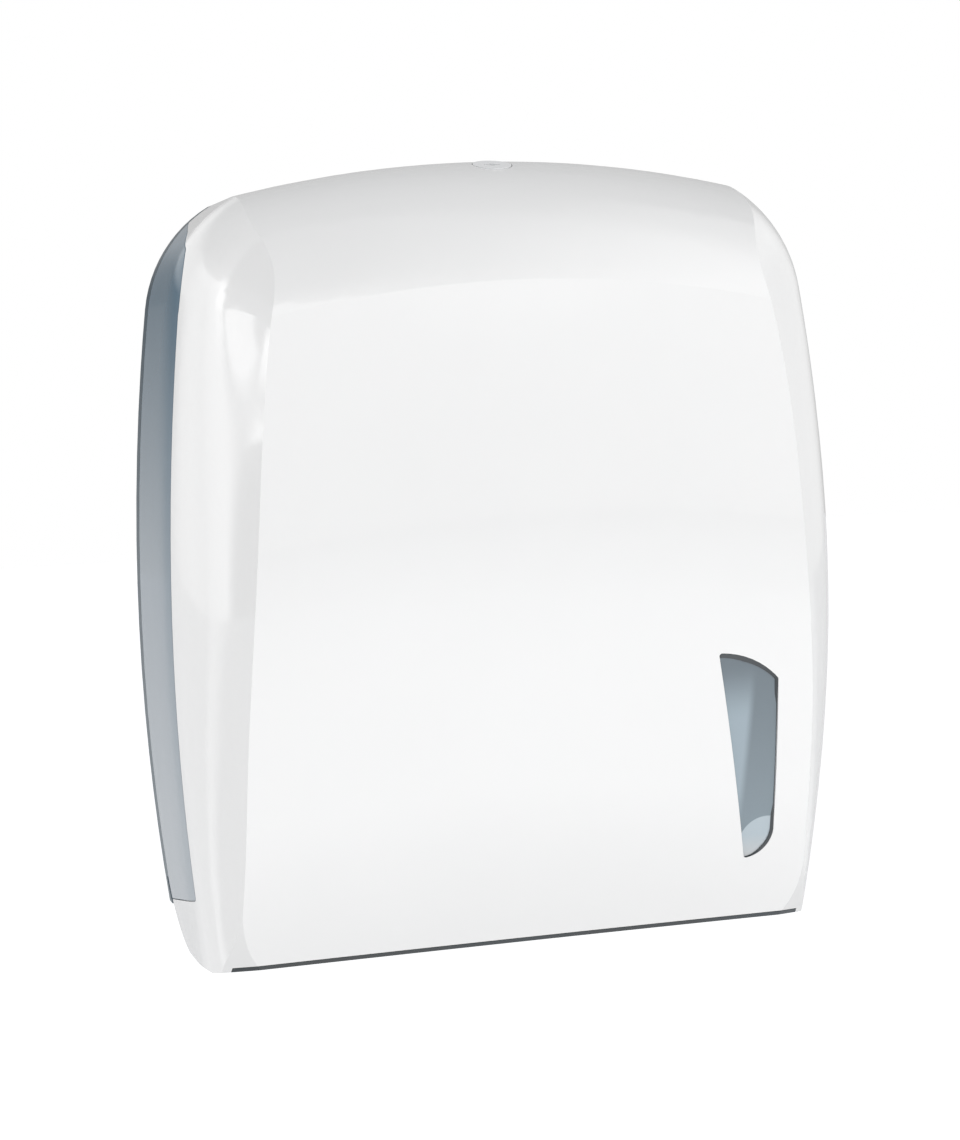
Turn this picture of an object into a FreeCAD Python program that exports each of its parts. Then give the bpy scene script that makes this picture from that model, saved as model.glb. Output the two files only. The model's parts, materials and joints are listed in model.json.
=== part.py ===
import FreeCAD, Part
import math
import os
import Sketcher
from FreeCAD import Placement, Rotation, Vector

# Wall-mounted dispenser for folded paper hand towels.
# The case is drawn standing on its own bottom edge: X to the right, Y into the wall, Z up,
# the wall at Y = 0. Every piece is then lowered so that the frame's origin is the centre
# of the four wall screws on the back face.

# Driving dimensions, in millimetres. Names that end in share are ratios without a unit.
VALUES = [
    # outer form of the closed case
    ("overall_width", 290.0),
    ("foot_narrowing", 10.7),
    ("widest_height", 144.6),
    ("crown_height", 330.9),
    ("crown_crest_depth", 49.5),
    ("crown_back_drop", 3.7),
    ("overall_depth", 113.8),
    ("crown_radius", 491.0),
    ("side_crown_radius", 506.5),
    ("side_crown_rise", 2.6),
    ("case_corner_radius", 57.4),
    ("case_corner_ease_share", 0.3),
    ("belly_height", 193.8),
    ("belly_radius", 536.0),
    ("front_plan_radius", 6794.0),
    ("side_round_reach", 55.8),
    ("side_round_span", 64.6),
    ("side_round_inset", 60.3),
    ("bottom_round_reach", 68.9),
    ("bottom_round_span", 44.5),
    ("bottom_round_inset", 19.9),
    ("top_round_reach", 65.2),
    ("top_round_span", 68.5),
    ("top_round_inset", 58.6),
    ("round_limit_share", 0.93),
    ("front_margin", 3.0),
    ("flat_sections", 4),
    ("round_sections", 7),
    ("front_sections", 6),
    ("offset_passes", 20),
    ("corner_cut_reach", 30.2),
    ("corner_cut_slant_share", 0.51),
    ("corner_cut_low_inset", 29.0),
    ("corner_cut_low_height", 5.3),
    ("corner_cut_middle_inset", 16.5),
    ("corner_cut_middle_height", 15.4),
    ("corner_cut_high_inset", 4.7),
    ("corner_cut_high_height", 31.0),
    ("overrun", 10.0),
    # walls and gaps of the cover
    ("skin_wall", 2.4),
    ("skin_gap", 0.3),
    ("shell_wall", 2.2),
    ("seam_gap", 0.4),
    ("flange_height", 1.6),
    ("foot_bend_reach", 47.8),
    ("foot_rise", 4.8),
    ("foot_rise_run", 22.0),
    ("cover_gap", 0.5),
    # back plate
    ("plate_thickness", 3.0),
    ("rim_depth", 7.0),
    ("rim_wall", 2.6),
    ("plate_bottom", 16.0),
    ("plate_corner_gap", 3.6),
    ("rib_thickness", 1.6),
    ("rib_height", 3.0),
    ("rib_field_width", 184.0),
    ("rib_field_bottom", 48.0),
    ("rib_field_top", 256.0),
    ("rib_columns", 5),
    ("rib_rows", 6),
    # wall screws
    ("wall_screw_height", 180.0),
    ("wall_screw_spacing_x", 150.0),
    ("wall_screw_spacing_z", 180.0),
    ("wall_screw_hole_radius", 2.75),
    ("wall_screw_boss_radius", 8.0),
    # hinge at the bottom
    ("hinge_depth", 36.0),
    ("hinge_height", 28.0),
    ("ear_radius", 8.0),
    ("ear_thickness", 3.5),
    ("ear_inset", 20.5),
    ("ear_root_top", 52.0),
    ("ear_root_bottom", 17.0),
    ("pin_radius", 2.5),
    ("pin_head_radius", 4.5),
    ("pin_head_thickness", 2.0),
    ("pin_fit", 0.02),
    ("pin_chamfer", 0.5),
    ("running_clearance", 0.05),
    ("bush_wall", 2.4),
    ("bush_flange_radius", 7.0),
    ("bush_flange_thickness", 0.6),
    ("ear_side_clearance", 0.3),
    ("lug_radius", 9.0),
    ("lug_bore_depth", 4.2),
    ("pin_end_clearance", 0.6),
    # side strips where the inner shell comes to the surface
    ("strip_bottom_rear", 15.0),
    ("strip_bottom_front", 30.5),
    ("strip_depth_bottom", 63.2),
    ("strip_depth_middle", 71.0),
    ("strip_middle_height", 160.0),
    ("strip_shoulder_depth", 64.5),
    ("strip_shoulder_drop", 58.9),
    ("strip_bend_depth", 62.4),
    ("strip_bend_rise", 14.1),
    ("strip_turn_depth", 52.4),
    ("strip_turn_rise", 25.9),
    ("strip_slope_depth", 30.7),
    ("strip_slope_rise", 32.7),
    ("strip_rear_rise", 36.3),
    ("strip_corner_radius", 2.5),
    # sight window in the skin
    ("window_top_left_inset", 66.5),
    ("window_top_left_height", 125.2),
    ("window_top_arc_inset", 53.0),
    ("window_top_arc_height", 122.4),
    ("window_top_right_inset", 39.3),
    ("window_top_right_height", 112.7),
    ("window_low_right_inset", 36.9),
    ("window_low_right_height", 45.0),
    ("window_low_arc_inset", 40.2),
    ("window_low_arc_height", 36.8),
    ("window_low_left_inset", 49.1),
    ("window_low_left_height", 32.5),
    ("window_fillet", 1.2),
    # towel tray
    ("tray_height", 14.0),
    ("tray_floor", 2.8),
    ("tray_ear_gap", 2.6),
    ("tray_back_gap", 0.3),
    ("tray_front_gap", 41.8),
    ("tray_corner_x", 15.0),
    ("tray_corner_y", 26.0),
    ("tray_wall", 2.4),
    ("tray_front_height", 46.0),
    ("tray_side_height", 15.0),
    ("tray_flange_inset", 20.5),
    ("tray_flange_height", 26.0),
    ("tray_notch_half_width", 32.0),
    ("tray_notch_depth", 22.0),
    ("tray_notch_radius", 9.0),
    # outlet slot and its lip
    ("slot_inset", 26.5),
    ("slot_front_margin", 15.5),
    ("slot_back_depth", 29.5),
    ("lip_wall", 3.0),
    ("lip_drop", 7.0),
    ("lip_flange", 4.0),
    ("lip_flange_thickness", 1.6),
    ("lip_fit", 0.2),
    ("lip_rounding", 1.2),
    # guides at the sides of the towel stack
    ("guide_ear_gap", 5.3),
    ("guide_wall", 2.2),
    ("guide_foot_gap", 0.3),
    ("guide_foot_setback", 47.8),
    ("guide_front_gap", 27.8),
    ("guide_knee_low", 45.0),
    ("guide_knee_high", 82.0),
    ("guide_shoulder_drop", 118.9),
    ("guide_shoulder_setback", 43.8),
    ("guide_top_drop", 84.9),
    ("guide_flange_width", 13.0),
    ("guide_flange_thickness", 2.2),
    ("guide_flange_bottom", 46.0),
    ("guide_lightening_width", 17.0),
    ("guide_lightening_height", 40.0),
    ("guide_lightening_depth", 26.0),
    ("guide_lightening_start", 64.0),
    ("guide_lightening_pitch", 52.0),
    ("guide_lightening_count", 3),
    # lock in the crown of the cover
    ("lock_depth", 62.0),
    ("lock_disc_radius", 8.1),
    ("lock_disc_thickness", 1.4),
    ("lock_ring_gap", 0.35),
    ("lock_flange_thickness", 1.0),
    ("lock_seat_depth", 0.3),
    ("lock_sleeve_radius", 6.4),
    ("lock_sleeve_length", 17.5),
    ("lock_sleeve_fit", 0.1),
    ("lock_spindle_radius", 4.6),
    ("lock_spindle_length", 22.0),
    ("lock_key_slot_length", 7.0),
    ("lock_key_slot_width", 1.7),
    ("lock_key_slot_depth", 4.5),
    ("lock_key_pin_radius", 1.15),
    ("lock_square", 6.0),
    ("lock_nut_flat", 19.0),
    ("lock_nut_thickness", 4.0),
    ("lock_nut_gap", 1.0),
    ("cam_thickness", 2.0),
    ("cam_hub_radius", 7.0),
    ("cam_fit", 0.05),
    ("cam_reach", 22.0),
    ("cam_hook_inner", 19.0),
    ("cam_half_width", 5.5),
    ("cam_hook_drop", 5.5),
    ("washer_radius", 4.6),
    ("washer_thickness", 0.8),
    # strike on the back plate that the lock's cam hooks behind
    ("keeper_thickness", 2.0),
    ("keeper_half_width", 5.0),
    ("keeper_tab_radius", 15.4),
    ("keeper_tab_height", 9.0),
    ("keeper_cam_gap", 0.8),
    ("keeper_base_height", 27.0),
    ("keeper_screw_inset", 6.5),
    ("keeper_screw_pitch", 13.0),
    ("keeper_bend_radius", 0.9),
    # screws
    ("screw_radius", 1.5),
    ("screw_head_radius", 3.1),
    ("screw_head_thickness", 1.5),
    ("screw_hole_fit", 0.05),
    ("screw_bite", 2.5),
    ("cam_screw_radius", 2.0),
    ("cam_screw_length", 8.0),
    ("skin_screw_bite", 1.5),
    ("skin_screw_x", 66.0),
    ("skin_screw_low", 150.0),
    ("skin_screw_high", 215.0),
    ("guide_screw_low", 58.0),
    ("guide_screw_pitch", 88.0),
    ("guide_screw_rows", 3),
    ("tray_screw_inset", 36.5),
    ("tray_screw_x_inner", 30.0),
    ("tray_screw_rise", 10.0),
]

# Sizes that keep a named distance from another one: what follows, what it follows, how far in.
KEPT_DISTANCES = [
    ("foot_half_width", "half_width", "foot_narrowing"),
    ("crown_back_height", "crown_height", "crown_back_drop"),
    ("side_round_start", "overall_depth", "side_round_reach"),
    ("bottom_round_start", "overall_depth", "bottom_round_reach"),
    ("top_round_start", "overall_depth", "top_round_reach"),
    ("corner_cut_depth", "overall_depth", "corner_cut_reach"),
    ("corner_cut_low_x", "half_width", "corner_cut_low_inset"),
    ("corner_cut_middle_x", "half_width", "corner_cut_middle_inset"),
    ("corner_cut_high_x", "half_width", "corner_cut_high_inset"),
    ("foot_bend_depth", "overall_depth", "foot_bend_reach"),
    ("ear_inner_x", "half_width", "ear_inset"),
    ("strip_shoulder_height", "crown_height", "strip_shoulder_drop"),
    ("window_top_left_x", "half_width", "window_top_left_inset"),
    ("window_top_arc_x", "half_width", "window_top_arc_inset"),
    ("window_top_right_x", "half_width", "window_top_right_inset"),
    ("window_low_right_x", "half_width", "window_low_right_inset"),
    ("window_low_arc_x", "half_width", "window_low_arc_inset"),
    ("window_low_left_x", "half_width", "window_low_left_inset"),
    ("tray_half_width", "ear_inner_x", "tray_ear_gap"),
    ("tray_depth", "overall_depth", "tray_front_gap"),
    ("tray_flange_half_width", "ear_inner_x", "tray_flange_inset"),
    ("tray_screw_x_outer", "ear_inner_x", "tray_screw_inset"),
    ("slot_half_width", "ear_inner_x", "slot_inset"),
    ("slot_front_depth", "tray_depth", "slot_front_margin"),
    ("slot_depth", "slot_front_depth", "slot_back_depth"),
    ("guide_outer_x", "ear_inner_x", "guide_ear_gap"),
    ("guide_foot_depth", "overall_depth", "guide_foot_setback"),
    ("guide_depth", "overall_depth", "guide_front_gap"),
    ("guide_shoulder", "crown_height", "guide_shoulder_drop"),
    ("guide_shoulder_depth", "overall_depth", "guide_shoulder_setback"),
    ("guide_top", "crown_height", "guide_top_drop"),
]


class Size:
    """A length with both its value and the sheet expression that gives it."""

    def __init__(self, value, text):
        self.value = value
        self.text = text

    def joined(self, sign, other, value):
        return Size(value, "(%s %s %s)" % (self.text, sign, as_size(other).text))

    def __add__(self, other):
        return self.joined("+", other, self.value + as_size(other).value)

    def __sub__(self, other):
        return self.joined("-", other, self.value - as_size(other).value)

    def __mul__(self, other):
        return self.joined("*", other, self.value * as_size(other).value)

    def __truediv__(self, other):
        return self.joined("/", other, self.value / as_size(other).value)

    def __neg__(self):
        return Size(-self.value, "(-1 * %s)" % self.text)


def as_size(number):
    if isinstance(number, Size):
        return number
    return Size(float(number), repr(number))


ZERO = Size(0.0, "0")

doc = FreeCAD.newDocument("towel_dispenser")


def make_sheet():
    sheet = doc.addObject("Spreadsheet::Sheet", "Sizes")
    for row, (name, value) in enumerate(VALUES, start=1):
        sheet.set("A%d" % row, name)
        sheet.set("B%d" % row, repr(value))
        sheet.setAlias("B%d" % row, name)
    doc.recompute()
    return sheet


sheet = make_sheet()
size = {name: Size(float(sheet.get(name)), "Sizes." + name) for name, value in VALUES}
size["half_width"] = size["overall_width"] / 2
for follower, leader, distance in KEPT_DISTANCES:
    size[follower] = size[leader] - size[distance]
size["slot_centre_depth"] = size["slot_back_depth"] + size["slot_depth"] / 2
mm = {name: length.value for name, length in size.items()}


def bind(thing, field, length):
    thing.setExpression(field, as_size(length).text)


def place(thing, x=ZERO, y=ZERO, z=ZERO, turn=None):
    """Puts a piece in its place, lowered so that the origin is the wall screws' centre."""
    if turn is not None:
        thing.Placement = Placement(Vector(0, 0, 0), turn)
    bind(thing, "Placement.Base.x", x)
    bind(thing, "Placement.Base.y", y)
    bind(thing, "Placement.Base.z", as_size(z) - size["wall_screw_height"])


def feature(name, shape):
    """Keeps a shape made by Part's functions as a piece of the document."""
    thing = doc.addObject("Part::Feature", name)
    thing.Label = name
    thing.Shape = shape
    place(thing)
    return thing


# Plane geometry of the case

def unit(vector):
    return vector / math.hypot(vector.x, vector.y)


def circle_meeting(centre_a, reach_a, centre_b, reach_b):
    """The point at two given distances from two centres, on the right-hand side."""
    between = centre_b - centre_a
    span = math.hypot(between.x, between.y)
    along = (reach_a ** 2 - reach_b ** 2 + span ** 2) / (2 * span)
    across = math.sqrt(reach_a ** 2 - along ** 2)
    step = unit(between)
    normal = Vector(step.y, -step.x, 0)
    foot = centre_a + step * along
    first = foot + normal * across
    second = foot - normal * across
    return first if first.x > second.x else second


def arc_between(start, end, centre, radius):
    middle = centre + unit(start + end - centre * 2) * radius
    return Part.Arc(start, middle, end).toShape()


def rounding(depth, start, span, inset):
    """How far an elliptic rounding has drawn in at a depth, and its slope there."""
    limit = mm["round_limit_share"]
    share = max((depth - start) / span, 0.0)
    held = min(share, limit)
    rise = math.sqrt(1 - held ** 2)
    slope = inset / span * held / rise
    drawn = inset * (1 - rise) + slope * (share - held) * span
    return drawn, slope


def offset_rounding(name, depth, wall):
    """A named rounding for a surface that lies one wall further in."""
    start, span, inset = (mm[name + part] for part in ("_round_start", "_round_span", "_round_inset"))
    outer = depth
    for step in range(int(mm["offset_passes"])):
        drawn, slope = rounding(outer, start, span, inset)
        outer = depth + wall * slope / math.hypot(1, slope)
    return drawn + wall / math.hypot(1, slope)


def side_outline(depth, wall):
    """Barrel outline of the case in a plane parallel to the wall."""
    drawn_side = offset_rounding("side", depth, wall)
    drawn_top = offset_rounding("top", depth, wall)
    drawn_low = offset_rounding("bottom", depth, wall)
    widest = mm["half_width"] - drawn_side
    lowest = mm["foot_half_width"] - drawn_low
    top = mm["crown_height"] + mm["side_crown_rise"] - drawn_top
    before_crest = max(crest_depth.value - depth, 0.0)
    top -= before_crest * (mm["crown_height"] - mm["crown_back_height"]) / crest_depth.value
    corner = mm["case_corner_radius"] - wall - mm["case_corner_ease_share"] * (drawn_side - wall)
    swell = widest - lowest
    middle = mm["widest_height"]
    side_radius = (middle ** 2 + swell ** 2) / (2 * swell)
    side_centre = Vector(widest - side_radius, middle, 0)
    top_radius = mm["side_crown_radius"] - wall
    top_centre = Vector(0, top - top_radius, 0)
    corner_centre = circle_meeting(
        side_centre, side_radius - corner, top_centre, top_radius - corner
    )
    low = -mm["overrun"]
    foot = Vector(side_centre.x + math.sqrt(side_radius ** 2 - (low - middle) ** 2), low, 0)
    hip = side_centre + unit(corner_centre - side_centre) * side_radius
    shoulder = top_centre + unit(corner_centre - top_centre) * top_radius
    mirrored = [Vector(-p.x, p.y, 0) for p in (foot, hip, shoulder)]
    edges = [
        Part.LineSegment(mirrored[0], foot).toShape(),
        arc_between(foot, hip, side_centre, side_radius),
        arc_between(hip, shoulder, corner_centre, corner),
        arc_between(shoulder, mirrored[2], top_centre, top_radius),
        arc_between(mirrored[2], mirrored[1], Vector(-corner_centre.x, corner_centre.y, 0), corner),
        arc_between(mirrored[1], mirrored[0], Vector(-side_centre.x, side_centre.y, 0), side_radius),
    ]
    wire = Part.Wire(edges)
    wire.Placement = Placement(Vector(0, -depth, 0), Rotation(Vector(1, 0, 0), 90))
    return wire


def side_form(wall):
    """Loft of the barrel outlines from behind the wall plane to past the front."""
    last = mm["overall_depth"] + mm["front_margin"]
    start = mm["bottom_round_start"]
    flat_steps, round_steps = int(mm["flat_sections"]), int(mm["round_sections"])
    depths = [start * step / flat_steps for step in range(flat_steps + 1)]
    depths[0] = -mm["overrun"]
    depths += [start + (last - start) * step / round_steps for step in range(1, round_steps + 1)]
    return Part.makeLoft([side_outline(depth, wall) for depth in depths], True)


# The brow's circle touches the front's circle from inside and carries the crown's crest.

crest_depth = size["crown_crest_depth"]
belly_y = size["belly_radius"] - size["overall_depth"]
brow_run = belly_y + crest_depth
brow_climb = size["crown_height"] - size["belly_height"]
brow_radius = (
    (size["belly_radius"] * size["belly_radius"] - brow_run * brow_run - brow_climb * brow_climb)
    / (size["belly_radius"] - brow_climb) / 2
)
brow_z = size["crown_height"] - brow_radius


def front_profile(wall):
    """Side view of front, rounded brow and top, as edges in (y, z)."""
    belly = Vector(belly_y.value, mm["belly_height"], 0)
    brow = Vector(-crest_depth.value, brow_z.value, 0)
    radius = brow_radius.value
    rear = Vector(0, mm["crown_back_height"], 0) - brow
    span = math.hypot(rear.x, rear.y)
    lean = math.atan2(rear.y, rear.x) + math.acos(radius / span)
    normal = Vector(math.cos(lean), math.sin(lean), 0)
    upper = brow + normal * (radius - wall)
    front = brow + unit(brow - belly) * (radius - wall)
    low = -mm["overrun"]
    face_radius = mm["belly_radius"] - wall
    toe = Vector(belly.x - math.sqrt(face_radius ** 2 - (low - belly.y) ** 2), low, 0)
    back = mm["overrun"]
    top_back = upper + Vector(normal.y, -normal.x, 0) * ((back - upper.x) / normal.y)
    return [
        Part.LineSegment(top_back, upper).toShape(),
        arc_between(upper, front, brow, radius - wall),
        arc_between(front, toe, belly, face_radius),
        Part.LineSegment(toe, Vector(back, low, 0)).toShape(),
        Part.LineSegment(Vector(back, low, 0), top_back).toShape(),
    ]


def sag(radius, x):
    return radius - math.sqrt(radius ** 2 - x ** 2)


def front_form(wall):
    """The side view carried across the case along the crown's shallow arch."""
    half = mm["half_width"] + mm["overrun"]
    turn = Rotation(Vector(1, 1, 1), 120)
    sections = []
    steps = int(mm["front_sections"])
    for step in range(steps + 1):
        x = half * (2 * step / steps - 1)
        wire = Part.Wire(front_profile(wall))
        away = sag(mm["front_plan_radius"], x)
        drop = sag(mm["crown_radius"], x)
        wire.Placement = Placement(Vector(x, away, -drop), turn)
        sections.append(wire)
    return Part.makeLoft(sections, True)


def corner_cuts(wall):
    """Prisms that take the lower front corners away along a slant, moved in by one wall."""
    low, middle, high = (
        Vector(mm["corner_cut_%s_x" % name], mm["corner_cut_%s_height" % name], 0)
        for name in ("low", "middle", "high")
    )
    outer = high.x + mm["overrun"]
    under = -mm["overrun"]
    toe = low + (low - middle) * ((low.y - under) / (middle.y - low.y))
    corners = [high, Vector(outer, high.y, 0), Vector(outer, toe.y, 0), toe, low]
    edges = [Part.LineSegment(a, b).toShape() for a, b in zip(corners, corners[1:])]
    edges.append(Part.Arc(low, middle, high).toShape())
    wire = Part.Wire(edges)
    wire.Placement = Placement(Vector(0, -mm["corner_cut_depth"], 0), Rotation(Vector(1, 0, 0), 90))
    slant = Vector(1, mm["corner_cut_slant_share"], 0)
    rise = Vector(high.x - low.x, 0, high.y - low.y)
    inward = rise.cross(slant).normalize() * wall
    reach = slant * mm["half_width"]
    wire.translate(inward - reach)
    right = Part.Face(wire).extrude(reach * 2)
    return [right, right.mirror(Vector(0, 0, 0), Vector(1, 0, 0))]


def case_form(wall):
    """Solid inside the case's surface moved in by one wall, open past bottom and back."""
    return side_form(wall).common(front_form(wall)).cut(corner_cuts(wall))


def front_surface_y(x, z, wall):
    """Where the front surface, moved in by a wall, crosses a line along Y."""
    height = z + sag(mm["crown_radius"], x)
    reach = math.sqrt((mm["belly_radius"] - wall) ** 2 - (height - mm["belly_height"]) ** 2)
    return belly_y.value - reach + sag(mm["front_plan_radius"], x)


def runs_along(edge, axis):
    if not isinstance(edge.Curve, Part.Line):
        return False
    return abs(edge.Curve.Direction.dot(axis)) > math.cos(math.radians(1))


def box_between(low, high):
    spans = [h - l for l, h in zip(low, high)]
    return Part.makeBox(*spans, Vector(*low))


def across_case(edges):
    """Prism across the whole width from edges given in (y, z)."""
    half = mm["half_width"] + mm["overrun"]
    wire = Part.Wire(edges)
    wire.Placement = Placement(Vector(-half, 0, 0), Rotation(Vector(1, 1, 1), 120))
    return Part.Face(wire).extrude(Vector(2 * half, 0, 0))


def line(start, end):
    return Part.LineSegment(Vector(*start, 0), Vector(*end, 0)).toShape()


def arc(start, middle, end):
    return Part.Arc(Vector(*start, 0), Vector(*middle, 0), Vector(*end, 0)).toShape()


def cover_zone(bottom):
    """Side view of the cover: its lower back corner turns about the hinge."""
    back = -(mm["rim_depth"] + mm["cover_gap"])
    hinge_y = -mm["hinge_depth"]
    hinge_z = mm["hinge_height"]
    radius = back - hinge_y
    front = -(mm["overall_depth"] + mm["overrun"])
    top = mm["crown_height"] + mm["overrun"]
    drop = math.sqrt(radius ** 2 - (hinge_z - bottom) ** 2) if bottom > hinge_z - radius else 0.0
    heel_z = max(bottom, hinge_z - radius)
    heel = (hinge_y + drop, heel_z)
    bend = math.atan2(heel_z - hinge_z, drop) / 2
    middle = (hinge_y + radius * math.cos(bend), hinge_z + radius * math.sin(bend))
    edges = [arc((back, hinge_z), middle, heel)]
    low = (hinge_y + drop, bottom)
    if heel_z > bottom:
        edges.append(line(heel, low))
    bend = (-mm["foot_bend_depth"], bottom)
    nose = (front, bottom + mm["foot_rise"] * (-front - mm["foot_bend_depth"]) / mm["foot_rise_run"])
    edges += [
        line(low, bend),
        line(bend, nose),
        line(nose, (front, top)),
        line((front, top), (back, top)),
        line((back, top), (back, hinge_z)),
    ]
    return across_case(edges)


def strip_zone(margin):
    """Side view of the strips where the inner shell reaches the surface."""
    back = mm["overrun"]
    low_rear = (back, mm["strip_bottom_rear"] - margin)
    low_front = (-mm["strip_depth_bottom"] - margin, mm["strip_bottom_front"] - margin)
    middle = (-mm["strip_depth_middle"] - margin, mm["strip_middle_height"])
    level = mm["strip_shoulder_height"]
    shoulder = (-mm["strip_shoulder_depth"] - margin, level)
    bend = (-mm["strip_bend_depth"] - margin, level + mm["strip_bend_rise"])
    turn = (-mm["strip_turn_depth"] - margin, level + mm["strip_turn_rise"] + margin)
    slope = (-mm["strip_slope_depth"], level + mm["strip_slope_rise"] + margin)
    tip = (-mm["rim_depth"] - mm["cover_gap"], level + mm["strip_rear_rise"] + margin)
    beyond = (tip[0] - slope[0]) / (back - tip[0])
    top_rear = (back, tip[1] + (tip[1] - slope[1]) / beyond)
    zone = across_case([
        line(low_rear, low_front),
        arc(low_front, middle, shoulder),
        arc(shoulder, bend, turn),
        line(turn, slope),
        line(slope, tip),
        line(tip, top_rear),
        line(top_rear, low_rear),
    ])
    corner = [
        edge for edge in zone.Edges
        if len(edge.Vertexes) == 2
        and all(math.hypot(v.Y - low_front[0], v.Z - low_front[1]) < mm["skin_gap"]
                for v in edge.Vertexes)
    ]
    return zone.makeFillet(mm["strip_corner_radius"] + margin, corner)


def window_prism():
    """The sight window's outline, cut through the front of the skin along Y."""
    top_left, top_arc, top_right, low_right, low_arc, low_left = (
        (mm["window_%s_x" % name], mm["window_%s_height" % name])
        for name in ("top_left", "top_arc", "top_right", "low_right", "low_arc", "low_left")
    )
    wire = Part.Wire([
        arc(top_left, top_arc, top_right),
        line(top_right, low_right),
        arc(low_right, low_arc, low_left),
        line(low_left, top_left),
    ])
    wire.Placement = Placement(Vector(0, -mm["strip_depth_middle"], 0), Rotation(Vector(1, 0, 0), 90))
    reach = mm["overall_depth"] + mm["overrun"] - mm["strip_depth_middle"]
    prism = Part.Face(wire).extrude(Vector(0, -reach, 0))
    lengthways = [edge for edge in prism.Edges if runs_along(edge, Vector(0, 1, 0))]
    return prism.makeFillet(mm["window_fillet"], lengthways)


def level_cylinder(radius, x, z, start, end):
    """Cylinder along Y between two places."""
    return Part.makeCylinder(radius, end - start, Vector(x, start, z), Vector(0, 1, 0))


# Places that several pieces share

lean_share = (size["lock_depth"] - crest_depth) / brow_radius
upright_share = Size(
    math.sqrt(1 - lean_share.value ** 2), "sqrt(1 - %s * %s)" % (lean_share.text, lean_share.text)
)
lock_y = -size["lock_depth"]
lock_z = brow_z + brow_radius * upright_share
LOCK_TURN = Rotation(Vector(1, 0, 0), math.degrees(math.asin(lean_share.value)))
LOCK_AXIS = LOCK_TURN.multVec(Vector(0, 0, 1))
shell_outside = size["skin_wall"] + size["skin_gap"]
shell_inside = shell_outside + size["shell_wall"]
lock_seat = -(shell_outside + size["lock_seat_depth"])
cam_bottom = -(size["lock_spindle_length"] + size["cam_thickness"])
plate_front = -size["plate_thickness"]
hinge_y = -size["hinge_depth"]
hinge_z = size["hinge_height"]
bush_outer = size["pin_radius"] + size["running_clearance"] + size["bush_wall"]
ear_outer_x = size["ear_inner_x"] + size["ear_thickness"]
bush_start_x = ear_outer_x + size["ear_side_clearance"]
lug_start_x = bush_start_x + size["bush_flange_thickness"]
lug_bore_end_x = lug_start_x + size["lug_bore_depth"]
pin_end_x = lug_bore_end_x - size["pin_end_clearance"]
tray_top = size["tray_height"] + size["tray_floor"]
tray_screw_z = tray_top + size["tray_screw_rise"]
tray_back = plate_front - size["tray_back_gap"]
guide_inner_x = size["guide_outer_x"] - size["guide_wall"]
guide_screw_x = guide_inner_x - size["guide_flange_width"] / 2
guide_front_face = tray_back - size["guide_flange_thickness"]
cam_axis_y = lock_y - lean_share * cam_bottom
keeper_tab_y = cam_axis_y + size["keeper_tab_radius"] + size["keeper_thickness"]
cam_axis_z = lock_z + upright_share * cam_bottom
keeper_top = cam_axis_z + lean_share * size["keeper_tab_radius"] - size["keeper_cam_gap"]
keeper_arm_top = keeper_top - size["keeper_tab_height"]
keeper_base_bottom = keeper_arm_top - size["keeper_base_height"]
keeper_screw_z = keeper_base_bottom + size["keeper_screw_inset"]
spot_radius = size["screw_head_radius"] + size["seam_gap"]


def place_on_lock(thing, height, turn=None):
    """Puts a piece on the lock's axis, at a height over the disc's face."""
    whole = LOCK_TURN if turn is None else LOCK_TURN.multiply(turn)
    place(thing, ZERO, lock_y - lean_share * height, lock_z + upright_share * height, whole)


def lock_cylinder(radius, low, high):
    """Cylinder on the lock's axis, between two heights over the disc's face."""
    base = Vector(0, lock_y.value, lock_z.value) + LOCK_AXIS * low
    return Part.makeCylinder(radius, high - low, base, LOCK_AXIS)


# Screws, used by several pieces

def screw(name, radius, length):
    """Pan-head screw: head above its own origin, shank below it."""
    head = doc.addObject("Part::Cylinder", name + "_head")
    bind(head, "Radius", size["screw_head_radius"])
    bind(head, "Height", size["screw_head_thickness"])
    shank = doc.addObject("Part::Cylinder", name + "_shank")
    bind(shank, "Radius", radius)
    bind(shank, "Height", length)
    bind(shank, "Placement.Base.z", -length)
    whole = doc.addObject("Part::Fuse", name)
    whole.Base = head
    whole.Tool = shank
    return whole


def screw_group(label, places, radius, length, turn):
    """Identical screws as one piece of separate solids."""
    members = []
    for number, (x, y, z) in enumerate(places, start=1):
        member = screw("%s_%d" % (label, number), radius, length)
        member.Placement = Placement(Vector(0, 0, 0), turn)
        bind(member, "Placement.Base.x", x)
        bind(member, "Placement.Base.y", y)
        bind(member, "Placement.Base.z", z)
        members.append(member)
    group = doc.addObject("Part::Compound", label)
    group.Label = label
    group.Links = members
    place(group)
    return group


FACING_ROOM = Rotation(Vector(1, 0, 0), 90)
FACING_DOWN = Rotation(Vector(1, 0, 0), 180)

tray_screw_places = [
    (x, tray_back - size["tray_wall"], tray_screw_z)
    for x in (
        -size["tray_screw_x_outer"], -size["tray_screw_x_inner"],
        size["tray_screw_x_inner"], size["tray_screw_x_outer"],
    )
]
guide_screw_places = [
    (x, guide_front_face, size["guide_screw_low"] + size["guide_screw_pitch"] * row)
    for x in (-guide_screw_x, guide_screw_x) for row in range(int(mm["guide_screw_rows"]))
]
keeper_screw_places = [
    (ZERO, plate_front - size["keeper_thickness"], keeper_screw_z + size["keeper_screw_pitch"] * row)
    for row in range(2)
]
skin_screw_spots = [
    (side * mm["skin_screw_x"], mm[height])
    for height in ("skin_screw_low", "skin_screw_high") for side in (-1, 1)
]


def skin_screw_seat(x, z):
    """Depth of the flat that a skin screw's head sits on, just under the shell's inside."""
    edge = spot_radius.value
    inner = [front_surface_y(x, z + step, shell_inside.value) for step in (-edge, edge)]
    return min(inner)


# Pieces made with Part's functions

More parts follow.
